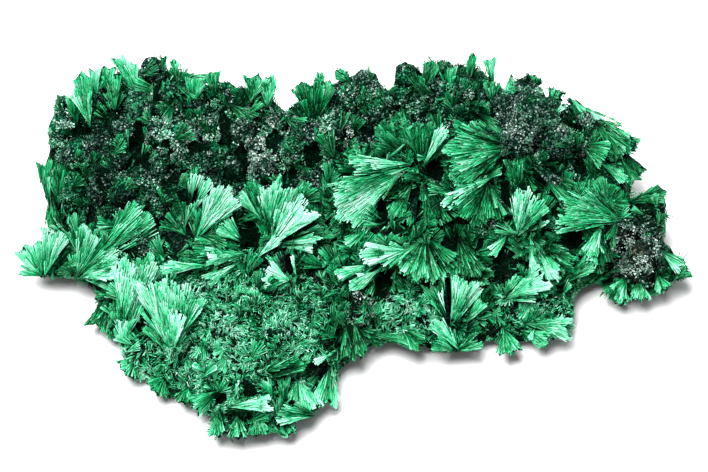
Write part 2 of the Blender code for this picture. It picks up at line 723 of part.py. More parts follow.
def fuse(body, pieces):
    """One closed mesh of the body and all the pieces grown on it."""
    collection = bpy.data.collections.new("growths")
    bpy.context.scene.collection.children.link(collection)
    for piece in pieces:
        collection.objects.link(piece)
    union = body.modifiers.new("Grown together", "BOOLEAN")
    union.operation = "UNION"
    union.operand_type = "COLLECTION"
    union.collection = collection
    union.use_self = True
    body.modifiers.new("Triangles", "TRIANGULATE")
    graph = bpy.context.evaluated_depsgraph_get()
    triangles = len(body.evaluated_get(graph).data.polygons)
    fewer = body.modifiers.new("Fewer triangles", "DECIMATE")
    fewer.ratio = MOST_TRIANGLES / triangles
    graph = bpy.context.evaluated_depsgraph_get()
    mesh = bpy.data.meshes.new_from_object(body.evaluated_get(graph))
    body.modifiers.clear()
    for piece in pieces:
        bpy.data.objects.remove(piece)
    bpy.data.collections.remove(collection)
    mend(mesh)
    return mesh


def malachite_material():
    material = bpy.data.materials.new("malachite")
    material.use_nodes = True
    shader = material.node_tree.nodes["Principled BSDF"]
    shader.inputs["Base Color"].default_value = MALACHITE_GREEN
    shader.inputs["Roughness"].default_value = MALACHITE_ROUGHNESS
    shader.inputs["Metallic"].default_value = 0.0
    return material


def main():
    for item in list(bpy.data.objects):
        bpy.data.objects.remove(item)
    chance = random.Random(SEED)
    body = build_matrix(chance)
    bpy.context.scene.collection.objects.link(body)
    pieces = [build_spray(spray, index) for index, spray in enumerate(SPRAYS)]
    pieces += [build_lump(lump, index, chance) for index, lump in enumerate(LUMPS)]
    body.data = fuse(body, pieces)
    body.name = "malachite"
    body.data.name = "malachite"
    body.data.materials.append(malachite_material())
    body.data.set_sharp_from_angle(angle=SHARP_ANGLE)


main()
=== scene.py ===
"""Fibrous malachite: needles, druse and felted fibres over the solid specimen, on a plain pale floor.

The sprays and the ground under them are laid out as the solid has them: u runs to the right and v runs up
a sloping plane, both in millimetres, and a spot height gives the level of the ground under each place.
Tones run from 0, near black, to 1, pale mint.
"""

import math
from collections import namedtuple

import bpy
import numpy as np
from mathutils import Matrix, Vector
from mathutils.bvhtree import BVHTree


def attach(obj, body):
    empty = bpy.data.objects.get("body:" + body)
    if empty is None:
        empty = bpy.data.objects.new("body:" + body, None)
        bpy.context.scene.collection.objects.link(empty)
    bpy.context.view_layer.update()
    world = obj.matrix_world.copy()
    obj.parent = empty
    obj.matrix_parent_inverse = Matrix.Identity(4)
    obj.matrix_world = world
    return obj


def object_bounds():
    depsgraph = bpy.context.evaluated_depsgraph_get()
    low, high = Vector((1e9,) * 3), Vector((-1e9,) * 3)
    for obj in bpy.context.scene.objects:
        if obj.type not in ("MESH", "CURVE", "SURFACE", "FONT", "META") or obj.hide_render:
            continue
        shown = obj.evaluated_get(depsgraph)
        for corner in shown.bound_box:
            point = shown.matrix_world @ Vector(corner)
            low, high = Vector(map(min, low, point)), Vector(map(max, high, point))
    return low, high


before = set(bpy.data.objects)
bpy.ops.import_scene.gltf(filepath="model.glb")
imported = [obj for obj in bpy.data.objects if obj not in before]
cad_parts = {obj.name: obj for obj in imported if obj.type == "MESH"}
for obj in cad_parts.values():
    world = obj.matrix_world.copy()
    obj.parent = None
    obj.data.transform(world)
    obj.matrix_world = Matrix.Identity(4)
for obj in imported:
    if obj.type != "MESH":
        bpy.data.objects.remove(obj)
solid_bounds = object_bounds()
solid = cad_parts["malachite"]

MM = 0.001
chance = np.random.default_rng(5)

# The sloping plane of the layout, as in the solid.
PLANE_ELEVATION = math.radians(55)
RISE = math.sin(PLANE_ELEVATION)
RUN = math.cos(PLANE_ELEVATION)
RIGHT = np.array((1.0, 0.0, 0.0))
UP_PLANE = np.array((0.0, RISE, RUN))
OUT_OF_PLANE = np.array((0.0, -RUN, RISE))
MOVE_BACK = 6.6
MOVE_RIGHT = 0.1
SPOT_SOFTNESS = 3.0

# The solid's sprays: pleats and rims, in millimetres and degrees.
DEGREES_PER_RAY = 11
SPRAY_PLEAT = 0.3
SPRAY_RAGGEDNESS = 0.13
APEX_RISE = 0.25
ROLL_SWING = 20
GOLDEN_ANGLE = 2.4

# The blade that every needle and grain is a copy of, one unit long.
BLADE_RADIUS = 0.62
NEEDLE_CHISEL = 0.07
GRAIN_CHISEL = 0.5

# Needles on the sprays, in millimetres. Pairs are a least and a most, and tones are a root's and a tip's.
NEEDLES_PER_MM2 = 26
LEAST_NEEDLES = 16
NEEDLE_WIDTH = (0.07, 0.16)
NEEDLE_SPAN = (0.9, 3.0)
NEEDLE_LAYER = (-0.14, 0.16)
ROOT_LAYER_SHARE = 0.3
NEAREST_START = 0.03
NEAREST_END_SQUARED = 0.04
NEEDLE_OVERREACH = 1.03
RIM_SHARE = 0.35
RIM_DEPTH = 0.08
SPREAD_MARGIN = 0.04
NEEDLE_STRAY = 0.04
NEEDLE_SHADE = 0.06
# Needles that stand out of their sheet are lighter and those lower in it darker, a painted shade.
LAYER_PAINTED_SHADE = 0.2
# The needles of each spray lie under its sheaves and are darker by this painted shade.
UNDER_SHEAF_PAINTED_SHADE = 0.06
NEEDLE_TONES = (-0.05, 0.08)
NEEDLE_ROLL = 0.2
NEEDLE_FLATNESS = 0.28
ROOT_DARKNESS = 0.26

# Feathered sheaves along a spray, in shares of its length and radians. The tilt is a mean and a spread.
SHEAVES_PER_MM2 = 1.2
LEAST_SHEAVES = 3
SHEAF_NEEDLES = 6
SHEAF_NEEDLES_PER_MM = 3.5
SHEAF_START = (0, 0.62)
SHEAF_END = (0.62, 0.99)
SHEAF_TURN = 0.1
SHEAF_TILT = (0.02, 0.06)
SHEAF_ROLL = 0.25
SHEAF_RISE = (-0.1, 0.25)
SHEAF_SHADE = 0.09
SHEAF_OPENING = (0.05, 0.2)

# Lower fans on both sides of a long spray, as shares of it, and in degrees and millimetres.
FLANKED_LENGTH = 3.0
FLANK_NEEDLES_PER_MM2 = 20
LEAST_FLANK_NEEDLES = 8
FLANK_TURN = (0.6, 1.0)
FLANK_LENGTH = (0.35, 0.65)
FLANK_SPREAD = (0.5, 0.9)
NARROWEST_FLANK = 30
FLANK_DROP = (4, 26)
FLANK_SINK = (0.3, 1.0)
# Flanks lie lower than their spray and are darker by this painted shade.
FLANK_PAINTED_SHADE = (0.08, 0.3)

# Bundles of needles that end together, stand out together and share a shade.
BUNDLES_PER_SPRAY = 80
BUNDLE_SPREAD = math.radians(6)
BUNDLE_RAGGEDNESS = 0.11
BUNDLE_STEP = 0.1
FULL_STEP_REACH = 4
BUNDLE_SHADE = 0.055
BUNDLE_KINDS = 997
PATCH_SHADE = 0.13
PATCH_SIZE = 1.1
BUNDLES = np.array(
    (
        chance.uniform(0, 1, BUNDLE_KINDS) ** 2,
        chance.uniform(-1, 1, BUNDLE_KINDS),
        chance.normal(0, 1, BUNDLE_KINDS),
    )
)

# Places sown over the solid's surface, and what keeps them off the sprays, the foot and the back.
SEEDS_PER_MM2 = 10
LOWEST_SEED = 0.7
FARTHEST_TURN = -0.1
HIDDEN_SHARE = 0.3
SPRAY_SIDE = 0.06
SPRAY_COVER = (0.15, 1.04)
SPRAY_CLEARANCE = (-0.7, 0.55)

# Tufts, which are small sprays, in millimetres and radians.
TUFTS_PER_SEED = 0.055
UPRIGHT_TUFTS_PER_SEED = 0.02
TUFT_NEEDLES_PER_MM2 = 8.5
LEAST_TUFT_NEEDLES = 5
TUFT_LENGTH = (1.5, 4.0)
FINE_TUFT_LOSS = 0.75
FINE_TUFT_SHORTENING = 0.5
HIDDEN_TUFT_SHORTENING = 0.6
TUFT_LEAN = (0.1, 0.9)
TUFT_FACING = 0.6
TUFT_ROLL = 0.45
TUFT_HALF_SPREAD = (0.22, 0.62)
TUFT_STAND = 0.1
UPRIGHT_PULL = 1.2
UPRIGHT_LENGTH = 0.8
UPRIGHT_SHADE = 0.14

# Heaps of druse grains.
CLUSTERS_PER_SEED = 0.09
CLUSTER_RADIUS = (0.3, 0.95)
HIDDEN_CLUSTER_LOSS = 0.55
CLUSTER_HEIGHT = 0.25
CLUSTER_SHADE = 0.1
CLUSTER_SIDE = (-0.1, 1)
GRAINS_PER_MM2 = 11
LEAST_GRAINS = 4
GRAIN_SIZE = (0.1, 0.27)
GRAIN_SKEW = 1.6
GRAIN_LENGTH = 1.4
GRAIN_DEPTH = (0.5, 1)
GRAIN_SINK = 0.4
GRAIN_SCATTER = 0.75
GRAIN_TILT = 0.7
GRAIN_SHADE = 0.13
# Grains that face the viewer are lighter and those facing away darker, painted light and shade.
GRAIN_FACING_PAINTED_LIGHT = 0.12
GRAIN_TONES = (-0.08, 0.05)
GLINT = 0.3
GRAIN_GLINTS = 0.07
FROST_TONE = 0.3
FROST_SHADE = 0.12
FROST_PATCH = 2.5

# Felt: matted fibres in small bundles that lie along a swirling field.
FELT_SHARE = 0.08
FINE_FELT_SHARE = 0.62
FELT_LENGTH = (0.4, 1.2)
FELT_WIDTH = (0.06, 0.13)
FELT_FLATNESS = 0.6
FELT_BUNDLE = 4
FELT_SWIRL = 1.6
FELT_BUNDLE_STRAY = 0.45
FELT_STRAY = 0.22
FELT_LIFT = (0.05, 0.5)
FELT_SINK = 0.3
FELT_STAND = 0.12
FELT_SCATTER = 0.1
# A soft pattern of painted light and shade over the felt stands in for hollows and ridges.
FELT_PAINTED_RELIEF = 0.12
FELT_PAINTED_RELIEF_SIZE = 1.9
FELT_BUNDLE_SHADE = 0.13
FELT_DARKENING = 0.02
FELT_SHADE = 0.1
FELT_TONES = (-0.16, 0.1)
FELT_GLINTS = 0.05
# Felt in the clefts is near black, a painted shade.
CLEFT_PAINTED_SHADE_TONE = -0.3

# The tone of the ground's growths.
GROUND_TONE = 0.4
GROUND_SHADE = 0.1
GROUND_PATCH = 3.5
# Walls that turn away from the viewer get a painted shade.
WALL_SLOPE = 2
WALL_PAINTED_SHADE = 0.1
FINE_SHADE = 0.05
FINE_FELT_SHADE = 0.1

# Clefts, and how their edges wander.
CLEFT_EDGE = 0.3
CLEFT_WANDER = 0.11
CLEFT_WAVES = chance.normal(0, 2.6, (2, 5))
CLEFT_TURNS = chance.uniform(0, 2 * math.pi, 5)
CLEFT_PROBES = (0.35, 0.7, 1)

# Soft edges of the zones, and the waves that make up a soft random pattern.
ZONE_SLOPE = 2.2
ZONE_REACH = 1.15
PATTERN_WAVES = 9
PATTERN_DIVISOR = 4

# How far what is sown may reach, in millimetres.
OUTLINE_PROBE = 0.65
VIEWER_DISTANCE = 60
LOWEST_TIP = 0.12
OVERHANG = np.array((1.2, 1.0, 0.45))
FIBRE_RANGE = 50

# Needles, tufts, felt and druse are split into pieces from left to right at these places.
NEEDLE_SPLIT = (-3,)
FLANK_SPLIT = (2,)
TUFT_SPLIT = (-12, 2, 18)
FELT_SPLIT = (0,)
DRUSE_SPLIT = (-16, 6)

# The mineral's green. Names that end in FROM hold the bounds that a value is read between.
BLOTCHES_PER_M = 520.0
STREAKS_PER_MM = (11, 11, 1.6)
# Crevices found by ambient occlusion within the crevice depth, in metres, are darkened by a painted shade.
CREVICE_DEPTH = 0.0014
CREVICE_PAINTED_SHADE = (-0.27, 0.08)
AO_RAYS = 3
SHEEN_PER_M = 640.0
SHEEN_PATCHES = (0.1, 1.6)
SHEEN_FROM = (0.4, 0.6)
# A painted sheen: streaks of pale silvery mint mixed over the lighter tones, in patches.
PAINTED_SHEEN_COLOUR = (0.34, 0.58, 0.48, 1)
PAINTED_SHEEN_FROM = (0.5, 0.68)
PAINTED_SHEEN_SHARE = 0.62
LIT_FROM = (0.2, 0.7)
ROUGHNESS = (0.5, 0.34)
SHINE_FROM = (0.3, 0.85)
SHINE = (0.03, 0.4)
BUMP_STRENGTH = 0.6
STREAK_DEPTH = 0.00002
GREEN_STOPS = (
    (0.0, (0.0002, 0.007, 0.003)),
    (0.2, (0.0004, 0.044, 0.012)),
    (0.42, (0.0008, 0.190, 0.052)),
    (0.6, (0.004, 0.400, 0.135)),
    (0.78, (0.080, 0.620, 0.330)),
    (1.0, (0.460, 0.820, 0.650)),
)

# Frost on the druse: in patches, and round the dark dome and the right end, in metres.
FROST_PATCHES_PER_M = 330.0
FROST_PATCHES_FROM = (0.42, 0.56)
FROSTED_CENTRES = ((0.0208, 0.0160, 0.0125), (0.0345, -0.0005, 0.0080))
FROSTED_REACH = (0.0054, 0.0074)
FROST_SHARE = (0.4, 0.92)
FACETS_PER_M = 8500.0
GLITTER = (-0.24, 0.25)
FROST_STOPS = (
    (0.0, (0.0006, 0.004, 0.003)),
    (0.28, (0.002, 0.022, 0.013)),
    (0.5, (0.010, 0.075, 0.045)),
    (0.7, (0.115, 0.190, 0.155)),
    (1.0, (0.600, 0.710, 0.660)),
)

# Iron stain round one place at the right end, in metres.
RUST_CENTRE = (0.0342, -0.0012, 0.0080)
RUST_REACH = (0.0016, 0.0044)
RUST_SHARE = 0.5
RUST_SPECKS_PER_M = 2600.0
RUST_PATCHES_PER_M = 300.0
RUST_PATCHES_FROM = (0.4, 0.6)
RUST_STOPS = (
    (0.44, (0.003, 0.010, 0.007)),
    (0.54, (0.018, 0.026, 0.020)),
    (0.62, (0.090, 0.088, 0.060)),
    (0.69, (0.400, 0.350, 0.220)),
)

# The matrix: dull and near black in its gaps, which is painted shade, and low down, with fine grains where
# it lies open, dimmed by a painted shade where it turns away from the viewer.
MATRIX_BLACK = (0.0002, 0.003, 0.0015, 1)
MATRIX_SHINE = 0.03
MATRIX_ROUGHNESS = 0.9
MATRIX_LOWER_SHARE = 0.15
MATRIX_UPPER_FROM = (0.010, 0.014)
MATRIX_OPEN_FROM = (0.3, 0.9)
MATRIX_GRAINS_PER_M = 5200.0
MATRIX_GRAIN_DEPTH = 0.00008
MATRIX_BACK_GLITTER_SHADE = 0.8
MATRIX_FACING_FROM = (-0.3, 0.4)
MATRIX_FROST_STOPS = (
    (0.0, (0.0004, 0.005, 0.003)),
    (0.5, (0.001, 0.016, 0.010)),
    (0.7, (0.010, 0.050, 0.034)),
    (0.88, (0.130, 0.220, 0.180)),
    (1.0, (0.480, 0.600, 0.540)),
)
MATRIX_GREEN_STOPS = (
    (0.0, (0.0002, 0.006, 0.003)),
    (0.5, (0.0005, 0.030, 0.011)),
    (0.8, (0.001, 0.110, 0.040)),
    (1.0, (0.020, 0.300, 0.140)),
)

# The studio: floor, long lens, and lights as place, width and watts. The key is above and a little in front.
FLOOR_SIDE = 3.0
FLOOR_COLOUR = (0.92, 0.92, 0.92, 1)
FLOOR_ROUGHNESS = 0.9
KEY_LIGHT = ((-0.16, -0.14, 0.84), 0.5, 17)
RIM_LIGHT = ((-0.3, 0.6, 0.5), 0.4, 4)
SKY_STRENGTH = 0.34
LENS = 300
SENSOR = 36
PHOTO_WIDTH = 0.0885
PHOTO_MIDDLE_V = 1.0
AIM_HEIGHT = 9.0
VIEW_DEPTH = (0.05, 10)

# Kinds of node group sockets.
NUMBER = "NodeSocketFloat"
COLOUR = "NodeSocketColor"

Spray = namedtuple("Spray", "u v heading length spread stand lift tone")
Zone = namedtuple("Zone", "u v half_width half_height amount", defaults=(1.0,))
Sown = namedtuple("Sown", "roots along across width thickness tone_root tone_tip")


def zones(*rows):
    """Ovals on the plane, each as its middle (u, v), half its width and height, and an amount."""
    return [Zone(*row) for row in rows]


# Levels of the ground, as (u, v) and a height, as in the solid.
SPOT_HEIGHTS = (
    (-41, -1, 3.2), (-38, 0, 4.0), (-34, -3, 4.2), (-38, 8, 8.5), (-36, 16, 11.5), (-29, 21, 13.0),
    (-30, 10, 12.5), (-30, 2, 9.5), (-20, 15, 13.0), (-20, 7, 12.0), (-20, 0, 10.0), (-30, -8, 3.2),
    (-25, -8, 6.5), (-27, -14, 3.2), (-20, -10, 7.8), (-22, -17, 3.0), (-15, -20, 3.6), (-16, -23, 2.2),
    (-9, -22, 2.4), (-4, -18, 3.0), (-12, -14, 6.4), (-10, -8, 8.6), (-10, 2, 9.6), (-10, 12, 12.6),
    (-8, 17, 12.5), (0, 20, 13.5), (0, 10, 12.2), (0, 0, 9.6), (0, -8, 6.6), (1, -12, 3.0), (8, -9, 5.2),
    (10, -13, 2.4), (8, 2, 10.2), (8, 12, 12.8), (10, 21, 13.6), (17, 5, 11.0), (17, 14, 13.0),
    (17, 21, 13.2), (18, -8, 4.4), (20, -12, 2.2), (20, -1, 7.2), (26, -9, 3.0), (28, -4, 4.0),
    (26, 4, 9.0), (25, 12, 12.0), (28, 17, 11.6), (34, 11, 8.8), (33, 5, 7.8), (38, 5, 6.6), (36, 0, 6.4),
    (40, -3, 3.8), (33, -5, 2.6),
)

# Sprays, as (u, v) of the root, heading, length, spread, height off the ground, lift, and tone.
LEFT_LOBE_SPRAYS = (
    (-39.2, -4.0, 106, 4.6, 66, 1.0, 12, 0.62),
    (-38.8, -4.0, 74, 6.4, 30, 1.4, 14, 0.78),
    (-38.0, -3.8, 38, 3.8, 44, 0.6, 8, 0.25),
    (-34.8, -4.3, 64, 7.2, 34, 1.6, 14, 0.68),
    (-34.6, -4.2, 46, 12.8, 9, 2.0, 12, 0.62),
    (-34.2, -4.2, 22, 6.2, 42, 2.0, 16, 0.8),
    (-33.6, -3.2, 95, 6.0, 30, 0.6, 8, 0.3),
)
PILLAR_SPRAYS = (
    (-28.9, -12.2, 86, 11.2, 14, 1.6, 12, 0.74),
    (-28.7, -12.3, 82, 3.4, 34, 2.0, 16, 0.7),
    (-27.6, -9.4, 74, 9.0, 16, 1.8, 12, 0.66),
    (-22.4, -14.0, 106, 10.6, 20, 2.2, 14, 0.78),
    (-22.3, -13.8, 91, 9.6, 20, 2.4, 14, 0.72),
    (-22.1, -13.2, 72, 7.6, 22, 2.0, 14, 0.62),
    (-22.2, -12.8, 84, 5.0, 26, 2.6, 18, 0.85),
    (-30.2, -6.0, 244, 5.6, 26, 0.8, 20, 0.35),
    (-30.0, -6.2, 268, 6.2, 14, 1.2, 20, 0.4),
    (-29.8, -6.4, 200, 2.8, 62, 0.8, 20, 0.2),
)
CENTRE_STAR_SPRAYS = (
    (-21.0, 2.2, 80, 7.0, 9, 1.8, 14, 0.78),
    (-20.8, 2.6, 68, 6.6, 9, 1.8, 12, 0.74),
    (-19.8, 0.5, 57, 8.3, 24, 2.2, 14, 0.85),
    (-19.4, 0.8, 44, 7.0, 12, 1.8, 12, 0.7),
    (-13.7, 0.1, 138, 4.2, 42, 1.6, 12, 0.66),
    (-11.3, 2.4, 127, 5.4, 9, 2.4, 16, 0.66),
    (-11.3, 2.6, 106, 5.8, 22, 1.8, 14, 0.46),
    (-11.0, 2.4, 90, 5.2, 14, 2.2, 14, 0.85),
    (-10.8, 1.4, 76, 7.6, 9, 2.0, 12, 0.7),
    (-10.4, 1.4, 70, 8.0, 8, 1.8, 12, 0.66),
    (-10.0, 1.8, 63, 7.8, 15, 2.2, 14, 0.62),
    (-10.6, -0.6, 47, 8.0, 24, 2.8, 16, 0.88),
    (-12.0, -1.6, 42, 4.0, 16, 2.6, 10, 0.85),
    (-9.2, 0.0, 26, 6.8, 34, 2.0, 12, 0.3),
    (-9.2, -0.1, 9, 5.6, 8, 2.4, 14, 0.68),
    (-8.4, -0.3, 357, 3.6, 16, 2.2, 12, 0.92),
    (-13.4, -0.9, 172, 7.4, 14, 1.8, 12, 0.45),
    (-13.4, -1.2, 184, 5.2, 22, 2.2, 14, 0.7),
    (-17.2, -1.9, 178, 4.4, 26, 1.4, 8, 0.42),
    (-13.8, -2.0, 211, 5.6, 14, 2.0, 12, 0.66),
    (-17.6, -2.8, 180, 6.6, 8, 1.8, 10, 0.68),
    (-8.1, -4.5, 166, 3.5, 62, 2.4, 16, 0.88),
    (-8.2, -4.2, 118, 3.8, 36, 1.8, 12, 0.6),
    (-13.6, -3.7, 55, 3.2, 44, 1.4, 10, 0.42),
    (-12.0, -6.4, 62, 3.4, 70, 1.2, 10, 0.36),
    (-7.2, -3.9, 105, 2.8, 6, 2.4, 14, 0.95),
    (-3.6, -3.0, 160, 3.4, 40, 1.0, 10, 0.35),
)
UPPER_CENTRE_SPRAYS = (
    (7.0, 9.9, 186, 8.0, 24, 3.2, 14, 0.5),
    (7.0, 9.9, 176, 8.0, 6, 3.4, 14, 0.8),
    (6.8, 9.6, 201, 9.6, 12, 3.4, 14, 0.62),
    (6.6, 9.4, 214, 11.2, 20, 3.2, 12, 0.76),
    (8.3, 9.6, 97, 5.8, 40, 2.6, 14, 0.3),
    (8.8, 9.8, 62, 5.9, 14, 3.2, 18, 0.84),
    (8.4, 12.2, 70, 3.2, 30, 2.8, 16, 0.5),
    (19.4, 12.0, 195, 8.6, 46, 3.4, 14, 0.5),
    (19.3, 12.4, 167, 7.8, 16, 3.0, 10, 0.36),
    (17.2, 8.2, 207, 7.6, 9, 3.8, 16, 0.76),
    (16.6, 7.6, 236, 6.0, 50, 3.4, 20, 0.34),
    (16.8, 7.6, 280, 5.4, 50, 3.2, 20, 0.3),
    (7.2, 7.2, 238, 4.8, 30, 2.4, 14, 0.45),
    (2.2, 3.2, 262, 2.8, 26, 2.0, 12, 0.55),
    (8.0, 6.4, 252, 4.6, 28, 2.0, 14, 0.5),
    (8.7, 8.0, 288, 6.2, 28, 2.2, 14, 0.3),
    (8.5, 8.6, 328, 3.8, 20, 2.0, 12, 0.25),
    (5.6, 11.4, 135, 4.6, 62, 1.8, 14, 0.34),
    (1.0, 9.2, 178, 3.4, 22, 2.0, 12, 0.42),
)
LOWER_CENTRE_SPRAYS = (
    (6.8, -0.8, 186, 6.4, 26, 3.0, 14, 0.85),
    (4.0, -2.0, 198, 7.0, 8, 2.6, 12, 0.7),
    (5.0, -2.0, 213, 7.0, 9, 2.4, 12, 0.72),
    (8.8, 0.6, 232, 5.6, 34, 3.2, 18, 0.62),
    (8.9, 0.4, 268, 5.6, 42, 3.0, 18, 0.38),
    (12.0, -10.5, 110, 6.6, 24, 2.0, 12, 0.5),
    (11.9, -10.2, 98, 6.4, 4, 2.6, 12, 0.85),
    (12.2, -10.4, 76, 6.8, 28, 2.2, 14, 0.66),
    (12.6, -9.8, 58, 6.2, 10, 2.0, 12, 0.85),
    (13.0, 0.6, 272, 5.2, 22, 1.8, 14, 0.3),
    (13.2, 0.6, 296, 5.6, 24, 1.8, 14, 0.34),
    (19.2, 1.0, 234, 3.5, 14, 2.2, 14, 0.7),
    (14.0, -3.0, 334, 3.6, 42, 1.6, 12, 0.45),
    (13.8, -9.9, 48, 3.8, 12, 2.0, 14, 0.66),
    (13.0, -13.2, 130, 5.2, 16, 1.6, 14, 0.8),
    (12.6, -13.2, 160, 3.4, 44, 1.4, 22, 0.5),
    (12.8, -13.2, 28, 3.6, 44, 1.2, 20, 0.5),
    (1.2, -11.0, 350, 6.6, 12, 1.2, 16, 0.45),
    (6.0, -10.6, 318, 3.6, 40, 1.2, 20, 0.4),
    (-1.0, -9.6, 272, 5.2, 20, 1.0, 18, 0.25),
    (-0.2, -9.4, 284, 5.2, 16, 0.8, 18, 0.4),
)
RIGHT_SPRAYS = (
    (20.3, 1.0, 83, 6.4, 12, 3.2, 14, 0.85),
    (20.4, 1.0, 55, 5.9, 24, 3.2, 14, 0.74),
    (20.8, 4.2, 98, 6.6, 18, 2.2, 12, 0.3),
    (22.2, 10.2, 322, 6.8, 26, 1.8, 10, 0.32),
    (20.6, 10.2, 285, 4.4, 24, 1.6, 10, 0.28),
    (22.0, 1.6, 28, 2.8, 12, 2.6, 10, 0.9),
    (33.8, 2.8, 170, 8.6, 18, 3.0, 12, 0.58),
    (33.6, 2.9, 151, 6.6, 18, 2.8, 12, 0.58),
    (33.6, 2.7, 184, 8.8, 6, 3.2, 12, 0.68),
    (31.0, 2.4, 246, 4.8, 24, 2.6, 16, 0.74),
    (21.8, 1.0, 284, 5.6, 16, 3.0, 18, 0.84),
    (22.4, 0.6, 301, 6.6, 14, 2.8, 18, 0.76),
    (24.0, -0.4, 322, 4.2, 40, 1.8, 12, 0.42),
    (25.0, -5.4, 34, 6.0, 16, 1.6, 12, 0.48),
    (18.6, -7.0, 31, 6.4, 26, 2.2, 14, 0.85),
    (18.7, -6.6, 66, 3.4, 40, 1.8, 12, 0.5),
    (21.4, -9.8, 352, 6.2, 22, 1.6, 20, 0.7),
    (20.8, -10.8, 338, 4.2, 34, 1.2, 24, 0.6),
    (18.6, -10.6, 287, 3.8, 48, 1.4, 26, 0.5),
    (22.6, -10.6, 242, 1.8, 16, 1.6, 20, 0.84),
    (24.0, -9.8, 300, 2.6, 50, 1.0, 24, 0.45),
)
UPPER_RIGHT_SPRAYS = (
    (27.0, 18.0, 321, 10.6, 10, 2.0, 6, 0.56),
    (27.2, 18.4, 318, 5.0, 14, 2.8, 10, 0.82),
    (30.0, 16.0, 287, 6.2, 48, 2.0, 14, 0.28),
    (32.6, 14.2, 322, 3.8, 40, 2.0, 10, 0.45),
    (34.4, 11.2, 296, 3.2, 54, 1.4, 12, 0.25),
    (33.8, 10.6, 300, 3.6, 24, 1.8, 14, 0.42),
    (31.0, 10.2, 325, 4.4, 14, 2.0, 14, 0.66),
    (30.6, 8.4, 300, 3.2, 70, 1.6, 14, 0.42),
    (24.4, 15.8, 37, 3.0, 10, 3.4, 12, 0.9),
    (23.4, 18.2, 352, 3.0, 34, 2.2, 12, 0.3),
    (19.8, 21.2, 264, 3.6, 34, 3.2, 22, 0.86),
    (17.4, 20.0, 96, 3.6, 22, 2.4, 14, 0.7),
    (14.6, 20.2, 84, 4.0, 16, 2.6, 12, 0.5),
    (16.8, 20.4, 262, 4.2, 20, 2.4, 18, 0.66),
    (8.6, 19.0, 72, 4.4, 26, 2.0, 12, 0.46),
    (15.2, 16.8, 318, 5.6, 20, 2.2, 12, 0.3),
    (22.0, 19.4, 60, 2.2, 60, 1.6, 14, 0.4),
    (25.0, 18.0, 70, 1.8, 70, 1.2, 12, 0.5),
)
RIGHT_LOBE_SPRAYS = (
    (34.5, 5.2, 16, 5.0, 26, 1.8, 12, 0.34),
    (38.4, -0.8, 325, 3.8, 30, 1.6, 16, 0.7),
    (40.0, -4.6, 38, 2.6, 44, 1.0, 16, 0.3),
    (34.2, -4.2, 236, 3.8, 52, 1.6, 24, 0.56),
    (33.4, -4.4, 268, 3.6, 40, 1.4, 26, 0.58),
    (35.6, -4.4, 276, 3.2, 48, 1.4, 26, 0.52),
    (38.0, -3.8, 292, 2.6, 50, 1.4, 24, 0.62),
    (38.4, 2.4, 80, 1.6, 50, 1.2, 12, 0.5),
    (36.6, 0.0, 85, 1.6, 30, 1.8, 14, 0.5),
    (31.2, -3.4, 208, 3.4, 14, 1.0, 14, 0.4),
)
LOWER_LEFT_SPRAYS = (
    (-2.9, -14.4, 262, 6.2, 28, 1.6, 22, 0.66),
    (-6.9, -16.8, 256, 3.2, 20, 1.8, 20, 0.66),
    (-6.9, -16.8, 296, 4.6, 34, 1.8, 20, 0.76),
    (-2.9, -14.2, 222, 5.2, 26, 1.2, 16, 0.5),
    (-2.5, -13.6, 207, 3.2, 8, 2.4, 14, 0.9),
    (-15.4, -20.2, 7, 5.8, 16, 1.8, 18, 0.86),
    (-5.1, -21.2, 175, 4.9, 16, 1.4, 20, 0.5),
    (-5.2, -21.3, 186, 4.8, 6, 1.6, 20, 0.8),
    (-8.7, -23.4, 150, 1.8, 20, 1.0, 22, 0.6),
    (-16.5, -20.4, 262, 3.9, 30, 1.2, 26, 0.5),
    (-14.5, -21.2, 270, 3.3, 50, 1.2, 28, 0.45),
    (-12.0, -21.2, 275, 2.9, 60, 1.2, 28, 0.5),
    (-9.0, -21.2, 298, 3.1, 44, 1.2, 26, 0.5),
    (-16.8, -18.0, 214, 4.2, 40, 1.6, 18, 0.56),
    (-14.8, -18.9, 76, 2.3, 10, 1.8, 14, 0.92),
    (-10.0, -19.0, 116, 2.9, 30, 1.8, 14, 0.5),
    (-8.6, -19.8, 90, 3.6, 24, 1.2, 10, 0.4),
    (-19.0, -16.6, 38, 3.1, 30, 1.8, 14, 0.66),
    (-18.7, -15.8, 132, 1.8, 20, 1.8, 14, 0.72),
    (-11.2, -15.8, 20, 5.4, 12, 1.4, 12, 0.4),
    (-10.6, -16.6, 22, 5.8, 10, 1.0, 12, 0.34),
    (-23.4, -16.4, 238, 2.8, 70, 0.8, 24, 0.45),
    (-20.4, -17.6, 250, 2.6, 60, 0.8, 24, 0.5),
    (-27.0, -14.2, 232, 2.8, 80, 0.8, 24, 0.5),
)
